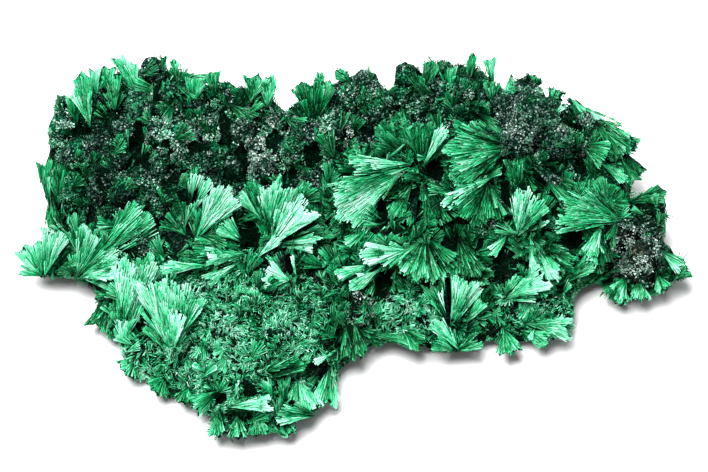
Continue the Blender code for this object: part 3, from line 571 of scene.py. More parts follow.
UPPER_LEFT_SPRAYS = (
    (-27.2, 18.8, 104, 4.4, 22, 2.6, 14, 0.7),
    (-27.6, 19.2, 116, 5.2, 16, 2.8, 14, 0.74),
    (-30.0, 17.6, 108, 2.4, 24, 2.2, 14, 0.6),
    (-32.5, 18.2, 93, 4.2, 18, 2.6, 14, 0.8),
    (-33.2, 14.6, 98, 7.4, 18, 2.2, 14, 0.6),
    (-31.0, 19.0, 92, 3.6, 36, 1.8, 12, 0.5),
    (-22.6, 20.4, 92, 3.1, 16, 2.4, 14, 0.58),
    (-20.0, 20.2, 18, 3.0, 26, 1.8, 10, 0.5),
    (-22.0, 21.4, 352, 4.8, 12, 1.8, 8, 0.74),
    (-24.2, 21.0, 88, 2.9, 16, 1.6, 12, 0.3),
    (-38.4, 11.4, 286, 6.8, 26, 1.2, 10, 0.48),
    (-38.2, 7.6, 277, 6.6, 16, 0.8, 10, 0.28),
    (-37.0, 2.2, 73, 4.2, 8, 1.6, 12, 0.68),
    (-13.0, 17.8, 68, 3.8, 32, 2.4, 14, 0.64),
    (-11.0, 17.2, 90, 3.9, 30, 2.0, 12, 0.5),
    (-13.4, 18.6, 158, 3.2, 26, 1.8, 12, 0.5),
    (-15.8, 17.8, 320, 4.2, 32, 1.8, 12, 0.36),
    (-5.2, 14.6, 98, 6.2, 34, 1.8, 14, 0.36),
    (-4.6, 15.2, 78, 5.8, 30, 2.0, 14, 0.4),
    (-4.4, 18.6, 88, 3.2, 12, 2.0, 12, 0.6),
    (0.6, 20.0, 150, 3.6, 24, 1.8, 12, 0.5),
)
# Sprays of needles alone, which the solid has no wedge for.
LOOSE_SPRAYS = (
    (-39.0, -4.0, 154, 3.2, 44, 1.0, 12, 0.66),
    (-35.0, 14.6, 92, 4.2, 30, 1.8, 12, 0.42),
    (-25.4, 20.4, 268, 3.0, 40, 3.0, 14, 0.55),
    (-20.6, 17.0, 80, 4.2, 30, 2.4, 16, 0.5),
    (12.0, 18.6, 92, 4.0, 30, 2.2, 16, 0.5),
    (31.4, 13.0, 300, 6.4, 24, 1.6, 8, 0.4),
    (27.4, 18.0, 313, 10.0, 30, 2.0, 6, 0.46),
    (27.8, 18.4, 300, 6.5, 30, 1.6, 8, 0.3),
    (-38.3, 4.6, 96, 6.2, 15, 1.0, 10, 0.44),
    (-37.2, 4.4, 88, 6.4, 16, 1.0, 10, 0.38),
    (-38.2, 11.8, 264, 4.4, 26, 1.4, 10, 0.32),
    (-28.2, -11.4, 78, 9.4, 12, 1.8, 12, 0.66),
    (-30.0, 16.8, 96, 4.6, 26, 2.2, 16, 0.5),
    (-24.6, 17.6, 84, 3.4, 24, 2.2, 16, 0.42),
    (-17.6, 18.4, 95, 3.6, 34, 1.8, 16, 0.4),
    (-10.9, 17.2, 80, 4.4, 20, 1.8, 10, 0.6),
    (-12.6, 17.6, 96, 4.0, 26, 1.6, 14, 0.48),
    (17.4, 17.4, 92, 3.4, 44, 2.0, 14, 0.42),
    (30.2, 1.6, 262, 4.6, 16, 2.4, 14, 0.7),
)
SPRAYS = [
    Spray(*row)
    for group in (
        LEFT_LOBE_SPRAYS,
        PILLAR_SPRAYS,
        CENTRE_STAR_SPRAYS,
        UPPER_CENTRE_SPRAYS,
        LOWER_CENTRE_SPRAYS,
        RIGHT_SPRAYS,
        UPPER_RIGHT_SPRAYS,
        RIGHT_LOBE_SPRAYS,
        LOWER_LEFT_SPRAYS,
        UPPER_LEFT_SPRAYS,
        LOOSE_SPRAYS,
    )
    for row in group
]

# Where druse covers the ground and the knobs, as ovals on the plane, and how thickly.
DRUSE_ZONES = zones(
    (-30, 12, 11, 11, 1.0),
    (-16, 13, 9, 8, 1.0),
    (-7, 12, 6, 6, 0.9),
    (0, 17, 6, 5.5, 1.0),
    (9, 19, 9, 5, 0.9),
    (22, 15, 6.5, 6, 1.0),
    (27, 13, 4.5, 5, 0.7),
    (35, -0.4, 4.4, 4.8, 1.0),
    (-24, 3, 6, 4, 0.5),
    (31, 8, 4, 4, 0.4),
    (0.5, -8, 2, 2, 0.6),
    (16.2, 2.2, 1.8, 1.0, 1.0),
)

# Where the felt is pale, as ovals on the plane, and by how much.
PALE_ZONES = zones(
    (-15.5, -5.5, 4, 2.5, 0.2),
    (-17, -13, 6, 5, 0.16),
    (-7, -10, 5, 4, 0.1),
    (-27, -14.5, 3.5, 3, 0.22),
    (6, -9, 5, 2.5, 0.16),
    (25, -8, 4.5, 2.5, 0.2),
    (-25, -3, 4, 4, 0.1),
    (-12, -19, 7, 4, 0.08),
    (-3, 2.5, 3.5, 3, 0.06),
)

# Where the druse is black, and by how much.
SOOTY_ZONES = zones((-32, 9, 4, 4, 0.06))

# Druse with hardly a tuft on it.
BARE_ZONES = zones((22, 15, 6, 6, 0.9), (35, -0.4, 4.4, 4.4, 0.9))

# Clefts, where nothing grows but a near-black felt that paints their shade.
CLEFTS = zones(
    (-13, 1, 1.2, 1.6),
    (-8.5, -2.5, 0.8, 1.1),
    (10, 9, 1.4, 1.3),
    (7.6, 5.3, 0.6, 2.3),
    (3.7, -5.1, 1.0, 1.7),
    (3.6, 3.8, 0.7, 1.8),
    (18.6, -2.9, 1.2, 2.0),
    (24.5, 8.5, 1.6, 1.1),
    (11.7, -6.9, 0.45, 2.9),
    (-4.5, -15.7, 1.6, 1.0),
    (-13, -18, 0.9, 0.8),
    (-16.5, -19, 0.8, 0.7),
    (-27.3, 12.8, 0.8, 2.4),
    (-26.2, 10.4, 0.8, 1.1),
    (-34.1, 14.0, 1.0, 0.8),
    (-30.5, 15.5, 0.9, 1.2),
    (-24.7, 18.9, 0.7, 1.3),
    (-19.4, 12.0, 1.3, 0.8),
    (-16.1, 14.6, 0.8, 2.4),
    (-14.0, 10.9, 0.8, 1.6),
    (-15.6, 8.8, 0.7, 0.8),
    (-22.6, 8.0, 0.6, 1.6),
    (-10.1, 13.0, 1.0, 1.4),
    (-5.2, 11.0, 0.9, 1.7),
    (-8.0, 8.0, 1.1, 1.0),
    (-31.5, 8.5, 0.8, 1.3),
    (-20.5, 6.0, 1.4, 0.8),
    (12.0, 0.2, 1.1, 0.8),
    (27.2, 0.6, 1.2, 0.9),
    (28.2, 9.6, 1.0, 0.8),
    (18.9, 6.3, 0.6, 2.2),
    (1.8, 13.8, 0.9, 1.0),
)

# Where the ground is matted rather than grown with larger tufts.
FINE_ZONES = zones(
    (-14, -8, 12, 7, 1.0),
    (-20, -16, 10, 6, 0.9),
    (-8, -16, 7, 6, 0.8),
    (6, -9, 6, 3, 0.9),
    (22, -8, 8, 3, 0.6),
)

# Where the druse is frosted grey rather than near black, and by how much.
FROST_ZONES = zones(
    (-23, 13, 3.5, 4, 0.27),
    (-18.2, 14.3, 2, 2, 0.3),
    (-11.5, 10.5, 3, 3.5, 0.28),
    (-2.5, 13.8, 3, 3, 0.28),
    (-36.7, 14.8, 2.5, 4, 0.24),
    (-25.5, 21.5, 3, 3, 0.1),
    (-16.3, 19, 2.5, 2.5, 0.15),
    (-9.3, 15.5, 2, 4, 0.16),
    (1.5, 19.5, 3.5, 3, 0.16),
    (8, 17, 4, 2.5, 0.16),
    (13, 19, 3, 2.5, 0.12),
    (28.8, 15.5, 2, 2, 0.2),
    (11.2, 22.2, 1.6, 1.4, 0.35),
    (-21, 0, 2, 1.5, 0.25),
    (0.5, -8, 2, 2, 0.3),
    (16.2, 2.2, 1.8, 1.0, 0.3),
    (22, 15, 5, 5, 0.08),
    (34.5, -0.6, 3.5, 3.5, 0.26),
)


def unit(rows):
    return rows / np.linalg.norm(rows, axis=-1, keepdims=True)


def plane_u(places):
    return places[:, 0] - MOVE_RIGHT


def plane_v(places):
    return (places[:, 1] - MOVE_BACK) * RISE + places[:, 2] * RUN


def turned_away(ways):
    """How far the ground turns away from the viewer at each place, from 0 to 1."""
    return np.clip(-(ways @ OUT_OF_PLANE), 0, 1)


def ground_height(u, v):
    """The level at places (u, v), blended from the spot heights by nearness."""
    spots = np.array(SPOT_HEIGHTS, float)
    u, v = np.atleast_1d(u)[:, None], np.atleast_1d(v)[:, None]
    weight = 1 / ((u - spots[:, 0]) ** 2 + (v - spots[:, 1]) ** 2 + SPOT_SOFTNESS) ** 2
    return (weight * spots[:, 2]).sum(axis=1) / weight.sum(axis=1)


def spray_frame(spray, index):
    """The root of a spray, the way along it, across it, and out of its sheet."""
    heading, lift = math.radians(spray.heading), math.radians(spray.lift)
    in_plane = math.cos(heading) * RIGHT + math.sin(heading) * UP_PLANE
    along = math.cos(lift) * in_plane + math.sin(lift) * OUT_OF_PLANE
    level_across = unit(np.cross(OUT_OF_PLANE, along))
    roll = math.radians(ROLL_SWING * math.sin(GOLDEN_ANGLE * index))
    across = math.cos(roll) * level_across + math.sin(roll) * np.cross(along, level_across)
    height = ground_height(spray.u, spray.v)[0]
    root = np.array((spray.u + MOVE_RIGHT, (spray.v - height * RUN) / RISE + MOVE_BACK, height))
    return root + spray.stand * OUT_OF_PLANE, along, across, np.cross(along, across)


def rim_shape(spray, index, angle):
    """How far the solid's rim reaches at an angle in the sheet, and how far its pleat stands out."""
    rays = max(2, round(spray.spread / DEGREES_PER_RAY))
    half_spread = math.radians(spray.spread) / 2
    place = np.clip((angle / half_spread + 1) / 2 * rays, 0, rays - 1e-6)
    lower = np.floor(place)
    share = place - lower
    odd = (lower + index) % 2
    oddness = odd * (1 - share) + (1 - odd) * share
    return spray.length * (1 - SPRAY_RAGGEDNESS * oddness), SPRAY_PLEAT * oddness


def blade(chisel):
    """The corners and faces of a blade one unit long that widens from a point to a chisel end."""
    bpy.ops.object.select_all(action="DESELECT")
    bpy.ops.mesh.primitive_cone_add(
        vertices=3, radius1=0, radius2=BLADE_RADIUS, depth=1, location=(0, 0, 0.5)
    )
    shape = bpy.context.object
    bpy.ops.object.transform_apply(location=True, rotation=False, scale=False)
    verts = shape.data.vertices
    far = max(range(len(verts)), key=lambda i: (round(verts[i].co.z, 3), verts[i].co.y))
    bpy.ops.object.mode_set(mode="EDIT")
    bpy.ops.mesh.select_mode(type="VERT")
    bpy.ops.mesh.select_all(action="DESELECT")
    bpy.ops.object.mode_set(mode="OBJECT")
    shape.data.vertices[far].select = True
    bpy.ops.object.mode_set(mode="EDIT")
    bpy.ops.transform.translate(value=(0, 0, -chisel))
    bpy.ops.object.mode_set(mode="OBJECT")
    corners = np.array([vert.co for vert in shape.data.vertices])
    faces = np.array([face.vertices[:] for face in shape.data.polygons])
    bpy.data.objects.remove(shape)
    return corners, faces


NEEDLE = blade(NEEDLE_CHISEL)
GRAIN = blade(GRAIN_CHISEL)


def joined(batches):
    return Sown(*(np.concatenate(columns) for columns in zip(*batches)))


def chosen(sown, keep):
    return Sown(*(column[keep] for column in sown))


def zone_amount(ovals, u, v, shrink=0):
    """The largest amount that any of the ovals gives at each place, less near its edge."""
    amount = np.zeros(len(u))
    for oval in ovals:
        away = np.hypot((u - oval.u) / oval.half_width, (v - oval.v) / oval.half_height)
        amount = np.maximum(amount, oval.amount * np.clip(ZONE_SLOPE * (ZONE_REACH - away - shrink), 0, 1))
    return amount


def patches(places, size):
    """A soft random pattern, mostly from -1 to 1, over places, with patches of about this size."""
    ways = unit(chance.normal(size=(PATTERN_WAVES, 3)))
    turns = chance.uniform(0, 2 * math.pi, PATTERN_WAVES)
    return np.sin(places @ ways.T * (math.pi / size) + turns).sum(axis=1) / PATTERN_DIVISOR


def in_cleft(places):
    """Which places lie in a cleft, whose edge wanders."""
    u, v = plane_u(places), plane_v(places)
    wander = np.sin(np.stack((u, v), axis=1) @ CLEFT_WAVES + CLEFT_TURNS).sum(axis=1)
    return zone_amount(CLEFTS, u, v, CLEFT_WANDER * wander) > CLEFT_EDGE


def beside_clefts(sown):
    """Leaves out what would cover a cleft."""
    for share in CLEFT_PROBES:
        sown = chosen(sown, ~in_cleft(sown.roots + share * sown.along))
    return sown


def in_the_open(sown):
    """Leaves out what would cover a cleft or pass the solid's outline as the viewer sees it."""
    sown = beside_clefts(sown)
    mesh = solid.data
    tree = BVHTree.FromPolygons(
        [vert.co / MM for vert in mesh.vertices], [face.vertices for face in mesh.polygons]
    )
    probes = sown.roots + OUTLINE_PROBE * sown.along + VIEWER_DISTANCE * OUT_OF_PLANE
    away = Vector(-OUT_OF_PLANE)
    hits = np.array([tree.ray_cast(Vector(probe), away)[0] is not None for probe in probes])
    return chosen(sown, hits)


def in_bounds(sown):
    """Leaves out what would reach the floor or stand out too far past the solid's box."""
    low, high = np.array(solid_bounds) / MM
    tips = sown.roots + sown.along
    inside = ((tips > low - OVERHANG) & (tips < high + OVERHANG)).all(axis=1)
    return chosen(sown, inside & (np.minimum(tips[:, 2], sown.roots[:, 2]) > LOWEST_TIP))


def add_attribute(mesh, name, kind, field, values):
    """Stores a value at every point of a mesh."""
    attribute = mesh.attributes.new(name, kind, "POINT")
    attribute.data.foreach_set(field, values.astype(np.float32).ravel())


def grow(name, shape, sown, material):
    """One joined mesh of small copies of a shape, each with its own place, size and tone.

    The tone runs from root to tip, and the fibre attribute holds each copy's own axes in millimetres.
    """
    sown = in_bounds(sown)
    corners, faces = shape
    length = np.linalg.norm(sown.along, axis=1, keepdims=True)
    along = sown.along / length
    across = unit(sown.across - (sown.across * along).sum(axis=1, keepdims=True) * along)
    outward = np.cross(along, across)
    verts = (
        sown.roots[:, None]
        + corners[None, :, 2:] * (length * along)[:, None]
        + corners[None, :, :1] * (sown.width[:, None] * across)[:, None]
        + corners[None, :, 1:2] * (sown.thickness[:, None] * outward)[:, None]
    )
    count = len(sown.roots)
    steps = np.arange(count)[:, None, None] * len(corners)
    mesh = bpy.data.meshes.new(name)
    mesh.from_pydata(verts.reshape(-1, 3) * MM, [], (faces[None] + steps).reshape(-1, faces.shape[1]))
    height = corners[None, :, 2]
    tone = sown.tone_root[:, None] * (1 - height) + sown.tone_tip[:, None] * height
    add_attribute(mesh, "tone", "FLOAT", "value", tone)
    sizes = np.stack((sown.width, sown.thickness, length[:, 0]), axis=1)
    fibre = corners[None] * sizes[:, None] + chance.uniform(0, FIBRE_RANGE, (count, 1, 3))
    add_attribute(mesh, "fibre", "FLOAT_VECTOR", "vector", fibre)
    mesh.materials.append(material)
    piece = bpy.data.objects.new(name, mesh)
    bpy.context.scene.collection.objects.link(piece)
    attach(piece, "root")


def grow_in_parts(name, shape, sown, material, edges):
    """The same in several pieces, split from left to right at these places."""
    for number, (low, high) in enumerate(zip((-math.inf, *edges), (*edges, math.inf))):
        inside = (sown.roots[:, 0] >= low) & (sown.roots[:, 0] < high)
        grow(f"{name}_{number + 1}", shape, chosen(sown, inside), material)


def fanned(place, along, across, outward, half_spread, length, tone, owner, rim=None):
    """Needles of sprays that open in their own sheets, in bundles that end and stand out together.

    The arrays hold one row a spray, and owner names the spray of each needle.
    """
    count = len(owner)
    angle = chance.uniform(-1, 1, count) * half_spread[owner]
    if rim is None:
        reach, pleat = length[owner], np.zeros(count)
    else:
        reach, pleat = rim(angle)
    bundle = np.floor(angle / BUNDLE_SPREAD + chance.uniform(size=len(length))[owner])
    bundle = (bundle + BUNDLES_PER_SPRAY // 2).astype(int)
    ending, step, shade = BUNDLES[:, (owner * BUNDLES_PER_SPRAY + bundle) % BUNDLE_KINDS]
    reach = reach * (NEEDLE_OVERREACH - BUNDLE_RAGGEDNESS * ending)
    end = reach * np.sqrt(chance.uniform(NEAREST_END_SQUARED, 1, count))
    at_rim = chance.uniform(size=count) < RIM_SHARE
    end = np.where(at_rim, reach * (1 - RIM_DEPTH * chance.uniform(0, 1, count) ** 2), end)
    start = np.maximum(end - chance.uniform(*NEEDLE_SPAN, count), NEAREST_START * end)
    layer = chance.uniform(*NEEDLE_LAYER, count)
    layer = layer + BUNDLE_STEP * step * np.minimum(reach / FULL_STEP_REACH, 1)
    direction = np.cos(angle)[:, None] * along[owner] + np.sin(angle)[:, None] * across[owner]
    sheet = outward[owner]
    low = APEX_RISE * (1 - start / reach) + pleat * start / reach + ROOT_LAYER_SHARE * layer
    high = APEX_RISE * (1 - end / reach) + pleat * end / reach + layer
    sideways = np.cross(sheet, direction)
    swerve = chance.normal(0, NEEDLE_STRAY, count) * (end - start)
    foot = place[owner] + start[:, None] * direction + low[:, None] * sheet
    tip = place[owner] + end[:, None] * direction + high[:, None] * sheet + swerve[:, None] * sideways
    width = chance.uniform(*NEEDLE_WIDTH, count)
    # Needles higher out of the sheet are lighter and lower ones darker, a painted shade.
    light = tone[owner] + BUNDLE_SHADE * shade + chance.normal(0, NEEDLE_SHADE, count) + LAYER_PAINTED_SHADE * layer
    light += PATCH_SHADE * patches((foot + tip) / 2, PATCH_SIZE)
    facing = sideways + chance.normal(0, NEEDLE_ROLL, count)[:, None] * sheet
    root_light = light - ROOT_DARKNESS * (1 - start / reach) + NEEDLE_TONES[0]
    tip_light = light - ROOT_DARKNESS * (1 - end / reach) + NEEDLE_TONES[1]
    return Sown(foot, tip - foot, facing, width, NEEDLE_FLATNESS * width, root_light, tip_light)


def fan_of(spray, index, per_mm2, least, margin=0.0, rim=None):
    """The needles of one spray, as many as its area asks for."""
    root, along, across, outward = spray_frame(spray, index)
    half_spread = math.radians(spray.spread) / 2
    return fanned(
        root[None],
        along[None],
        across[None],
        outward[None],
        np.array([half_spread + margin]),
        np.array([spray.length]),
        np.array([spray.tone]),
        np.zeros(int(per_mm2 * half_spread * spray.length**2) + least, int),
        rim,
    )


def spray_needles(spray, index):
    """Needles that fan out over one of the solid's wedges and past its toothed rim."""

    def rim(angle):
        return rim_shape(spray, index, angle)

    # These needles lie under the sheaves, darker by a painted shade.
    under_sheaf_shaded = spray._replace(tone=spray.tone - UNDER_SHEAF_PAINTED_SHADE)
    return fan_of(under_sheaf_shaded, index, NEEDLES_PER_MM2, LEAST_NEEDLES, SPREAD_MARGIN, rim)


def sheaves(spray, index):
    """Feathered bundles that start at different places along a spray and lie over one another."""
    root, along, across, outward = spray_frame(spray, index)
    half_spread = math.radians(spray.spread) / 2
    count = int(SHEAVES_PER_MM2 * half_spread * spray.length**2) + LEAST_SHEAVES
    bearing = chance.uniform(-1, 1, count) * half_spread
    begin = spray.length * chance.uniform(*SHEAF_START, count)
    span = spray.length * chance.uniform(*SHEAF_END, count) - begin
    turned = bearing + chance.normal(0, SHEAF_TURN, count)
    own_along = np.cos(turned)[:, None] * along + np.sin(turned)[:, None] * across
    own_along = unit(own_along + chance.normal(*SHEAF_TILT, count)[:, None] * outward)
    facing = unit(outward + SHEAF_ROLL * chance.normal(size=(count, 3)))
    own_across = unit(np.cross(facing, own_along))
    own_outward = np.cross(own_along, own_across)
    rise = chance.uniform(*SHEAF_RISE, count)
    place = root + begin[:, None] * (np.cos(bearing)[:, None] * along + np.sin(bearing)[:, None] * across)
    place = place + rise[:, None] * outward
    # Sheaves that rise higher are lighter and lower ones darker, a painted shade.
    tone = spray.tone + chance.normal(0, SHEAF_SHADE, count) + LAYER_PAINTED_SHADE * rise
    owner = np.repeat(np.arange(count), (SHEAF_NEEDLES + SHEAF_NEEDLES_PER_MM * span).astype(int))
    opening = chance.uniform(*SHEAF_OPENING, count)
    return fanned(place, own_along, own_across, own_outward, opening, span, tone, owner)


def flank_needles(spray, index):
    """Lower fans on both sides of a long spray, which fill the star that it belongs to, darkened by a
    painted shade.
    """
    batches = []
    for side in (-1, 1):
        turned = spray._replace(
            heading=spray.heading + side * spray.spread * chance.uniform(*FLANK_TURN),
            length=spray.length * chance.uniform(*FLANK_LENGTH),
            spread=max(NARROWEST_FLANK, spray.spread * chance.uniform(*FLANK_SPREAD)),
            lift=spray.lift - chance.uniform(*FLANK_DROP),
            stand=spray.stand - chance.uniform(*FLANK_SINK),
            tone=spray.tone - chance.uniform(*FLANK_PAINTED_SHADE),
        )
        batches.append(fan_of(turned, index + side, FLANK_NEEDLES_PER_MM2, LEAST_FLANK_NEEDLES))
    return joined(batches)


def tufts(spots, ways, upward, length, tone):
    """Small sprays that spring from places on the ground, each with its own heading."""
    count = len(spots)
    scatter = chance.normal(size=(count, 3))
    lie = unit(scatter - (scatter * ways).sum(axis=1, keepdims=True) * ways)
    lean = chance.uniform(*TUFT_LEAN, count)[:, None]
    along = unit(lean * ways + lie + upward * UP_PLANE)
    facing = unit(ways + TUFT_FACING * OUT_OF_PLANE + TUFT_ROLL * chance.normal(size=(count, 3)))
    across = unit(np.cross(facing, along))
    outward = np.cross(along, across)
    half_spread = chance.uniform(*TUFT_HALF_SPREAD, count)
    number = (TUFT_NEEDLES_PER_MM2 * half_spread * length**2 + LEAST_TUFT_NEEDLES).astype(int)
    owner = np.repeat(np.arange(count), number)
    return fanned(spots + TUFT_STAND * ways, along, across, outward, half_spread, length, tone, owner)


def surface_seeds():
    """Places spread evenly over the solid, with the way out of its surface there, in millimetres."""
    mesh = solid.data
    mesh.calc_loop_triangles()
    corners = np.empty(len(mesh.vertices) * 3, np.float32)
    mesh.vertices.foreach_get("co", corners)
    corners = corners.reshape(-1, 3) / MM
    triangles = np.empty(len(mesh.loop_triangles) * 3, np.int32)
    mesh.loop_triangles.foreach_get("vertices", triangles)
    triangles = corners[triangles.reshape(-1, 3)]
    normals = np.cross(triangles[:, 1] - triangles[:, 0], triangles[:, 2] - triangles[:, 0])
    doubled = np.linalg.norm(normals, axis=1)
    count = int(SEEDS_PER_MM2 * doubled.sum() / 2)
    picked = chance.choice(len(triangles), count, p=doubled / doubled.sum())
    first, second = chance.uniform(size=(2, count, 1))
    over = first + second > 1
    first, second = np.where(over, 1 - first, first), np.where(over, 1 - second, second)
    corner = triangles[picked]
    places = corner[:, 0] + first * (corner[:, 1] - corner[:, 0]) + second * (corner[:, 2] - corner[:, 0])
    return places, normals[picked] / doubled[picked, None]


def on_a_spray(places):
    """Which places lie on one of the sprays."""
    found = np.zeros(len(places), bool)
    for index, spray in enumerate(SPRAYS):
        root, along, across, outward = spray_frame(spray, index)
        offset = places - root
        x, y, z = offset @ along, offset @ across, offset @ outward
        within = np.abs(np.arctan2(y, x)) < math.radians(spray.spread) / 2 + SPRAY_SIDE
        within &= (x > SPRAY_COVER[0] * spray.length) & (np.hypot(x, y) < SPRAY_COVER[1] * spray.length)
        found |= within & (z > SPRAY_CLEARANCE[0]) & (z < SPRAY_CLEARANCE[1])
    return found


def druse_clusters(spots, ways, frost):
    """Little heaps of sparkling grains that break up the knobs."""
    count = len(spots)
    radius = chance.uniform(*CLUSTER_RADIUS, count) * (1 - HIDDEN_CLUSTER_LOSS * turned_away(ways))
    number = (GRAINS_PER_MM2 * 2 * math.pi * radius**2).astype(int) + LEAST_GRAINS
    owner = np.repeat(np.arange(count), number)
    total = len(owner)
    scatter = GRAIN_SCATTER * unit(chance.normal(size=(total, 3)))
    ways = ways[owner]
    way = unit(ways * chance.uniform(*CLUSTER_SIDE, total)[:, None] + scatter)
    out = (way * ways).sum(axis=1, keepdims=True)
    depth = chance.uniform(*GRAIN_DEPTH, (total, 1))
    spot = spots[owner] + radius[owner, None] * (way + CLUSTER_HEIGHT * out * ways) * depth
    size = GRAIN_SIZE[0] + (GRAIN_SIZE[1] - GRAIN_SIZE[0]) * chance.uniform(0, 1, total) ** GRAIN_SKEW
    along = unit(way + GRAIN_TILT * chance.normal(size=(total, 3))) * (GRAIN_LENGTH * size)[:, None]
    light = frost[owner] + CLUSTER_SHADE * chance.normal(size=count)[owner]
    light += GRAIN_SHADE * chance.normal(size=total)
    # Painted light and shade: grains facing the viewer lighter, those facing away darker.
    light += GRAIN_FACING_PAINTED_LIGHT * (way @ OUT_OF_PLANE)
    light += GLINT * (chance.uniform(size=total) < GRAIN_GLINTS)
    roots = spot - GRAIN_SINK * along
    facing = chance.normal(size=(total, 3))
    return Sown(roots, along, facing, size, size, light + GRAIN_TONES[0], light + GRAIN_TONES[1])


def felt_needles(spots, way, tone):
    """Short needles matted over the ground."""
    field = np.stack([patches(spots, FELT_SWIRL) for _ in range(3)], axis=1)
    owner = np.repeat(np.arange(len(spots)), FELT_BUNDLE)
    count = len(owner)
    lie = unit(field + FELT_BUNDLE_STRAY * chance.normal(size=field.shape))[owner]
    lie = lie + FELT_STRAY * chance.normal(size=(count, 3))
    way = way[owner]
    lift = chance.uniform(*FELT_LIFT, len(spots))[owner, None]
    along = unit(lift * way + lie - (lie * way).sum(axis=1, keepdims=True) * way)
    along = along * chance.uniform(*FELT_LENGTH, count)[:, None]
    # Painted light and shade in a soft pattern stand in for hollows and ridges in the felt.
    shade = FELT_PAINTED_RELIEF * patches(spots, FELT_PAINTED_RELIEF_SIZE)
    shade = shade + FELT_BUNDLE_SHADE * chance.normal(size=len(spots)) - FELT_DARKENING
    light = (tone + shade)[owner] + FELT_SHADE * chance.normal(size=count)
    light += GLINT * (chance.uniform(size=count) < FELT_GLINTS)
    width = chance.uniform(*FELT_WIDTH, count)
    facing = chance.normal(size=(count, 3))
    foot = spots[owner] - FELT_SINK * along + FELT_STAND * way
    foot = foot + FELT_SCATTER * chance.normal(size=(count, 3))
    tones = light + FELT_TONES[0], light + FELT_TONES[1]
    return Sown(foot, along, facing, width, FELT_FLATNESS * width, *tones)


def ground_tone(spots, ways):
    """How light the growths on the ground are, with a painted shade on walls that turn away from the viewer.
    """
    wall = np.minimum(WALL_SLOPE * turned_away(ways), 1)
    pale = zone_amount(PALE_ZONES, plane_u(spots), plane_v(spots))
    return GROUND_TONE + pale + GROUND_SHADE * patches(spots, GROUND_PATCH) - WALL_PAINTED_SHADE * wall


def share_of(keep, share):
    """A random part of the places that are to keep."""
    return keep & (chance.uniform(size=len(keep)) < share)


def grow_all():
    """Sows the whole specimen: needles on the sprays first, then tufts, felt and druse on the ground."""
    places, normals = surface_seeds()
    kept = (places[:, 2] > LOWEST_SEED) & ~on_a_spray(places)
    kept &= (normals @ OUT_OF_PLANE > FARTHEST_TURN) | (chance.uniform(size=len(places)) < HIDDEN_SHARE)
    places, normals = places[kept], normals[kept]
    u, v = plane_u(places), plane_v(places)
    druse_share = zone_amount(DRUSE_ZONES, u, v)
    fine_share = zone_amount(FINE_ZONES, u, v)
    tone = ground_tone(places, normals) + FINE_SHADE * fine_share
    is_druse = chance.uniform(size=len(places)) < druse_share

    fans = joined([spray_needles(spray, index) for index, spray in enumerate(SPRAYS)])
    feathers = joined([sheaves(spray, index) for index, spray in enumerate(SPRAYS)])
    long_sprays = [(index, spray) for index, spray in enumerate(SPRAYS) if spray.length > FLANKED_LENGTH]
    flanks = joined([flank_needles(spray, index) for index, spray in long_sprays])
    grow_in_parts("fan_needles", NEEDLE, beside_clefts(fans), needle_material, NEEDLE_SPLIT)
    grow_in_parts("sheaves", NEEDLE, beside_clefts(feathers), needle_material, NEEDLE_SPLIT)
    grow_in_parts("flank_needles", NEEDLE, in_the_open(flanks), needle_material, FLANK_SPLIT)

    keep = share_of(~is_druse, TUFTS_PER_SEED * (1 - FINE_TUFT_LOSS * fine_share))
    length = chance.uniform(*TUFT_LENGTH, len(places)) * (1 - FINE_TUFT_SHORTENING * fine_share)
    length = length * (1 - HIDDEN_TUFT_SHORTENING * turned_away(normals))
    green = tufts(places[keep], normals[keep], 0, length[keep], tone[keep])
    keep = share_of(is_druse, UPRIGHT_TUFTS_PER_SEED * (1 - zone_amount(BARE_ZONES, u, v)))
    short, dark = UPRIGHT_LENGTH * length[keep], tone[keep] - UPRIGHT_SHADE
    upright = tufts(places[keep], normals[keep], UPRIGHT_PULL, short, dark)
    grow_in_parts("tufts", NEEDLE, in_the_open(joined([green, upright])), tuft_material, TUFT_SPLIT)

    keep = share_of(~is_druse, FELT_SHARE + FINE_FELT_SHARE * fine_share)
    felt = felt_needles(places[keep], normals[keep], tone[keep] + FINE_FELT_SHADE * fine_share[keep])
    # Near-black felt in the clefts paints their shade.
    lined = in_cleft(places)
    cleft_shade_felt = felt_needles(places[lined], normals[lined], np.full(lined.sum(), CLEFT_PAINTED_SHADE_TONE))
    grow_in_parts("felt", NEEDLE, joined([in_the_open(felt), cleft_shade_felt]), felt_material, FELT_SPLIT)

    keep = share_of(is_druse, CLUSTERS_PER_SEED)
    frost = FROST_TONE + zone_amount(FROST_ZONES, u[keep], v[keep])
    frost += FROST_SHADE * patches(places[keep], FROST_PATCH)
    frost -= zone_amount(SOOTY_ZONES, u[keep], v[keep])
    druse = druse_clusters(places[keep], normals[keep], frost)
    grow_in_parts("druse", GRAIN, in_the_open(druse), druse_material, DRUSE_SPLIT)


def feed(tree, value, socket):
    """Links another node's output to a socket, or sets the socket to a plain value."""
    if isinstance(value, bpy.types.NodeSocket):
        tree.links.new(value, socket)
    else:
        socket.default_value = value


def node(tree, kind, **values):
    """A new shader node, whose sockets are the names with a capital and whose settings are the others."""
    made = tree.nodes.new(kind)
    for name, value in values.items():
        if name[0].isupper():
            feed(tree, value, made.inputs[name.replace("_", " ")])
        else:
            setattr(made, name, value)
    return made


def maths(tree, operation, first, second, **settings):
    """One number made of two others."""
    made = node(tree, "ShaderNodeMath", operation=operation, **settings)
    feed(tree, first, made.inputs[0])
    feed(tree, second, made.inputs[1])
    return made.outputs[0]


def vector_maths(tree, operation, first, second, output="Value"):
    """A number, or a vector, made of two vectors."""
    made = node(tree, "ShaderNodeVectorMath", operation=operation)
    feed(tree, first, made.inputs[0])
    feed(tree, second, made.inputs[1])
    return made.outputs[output]


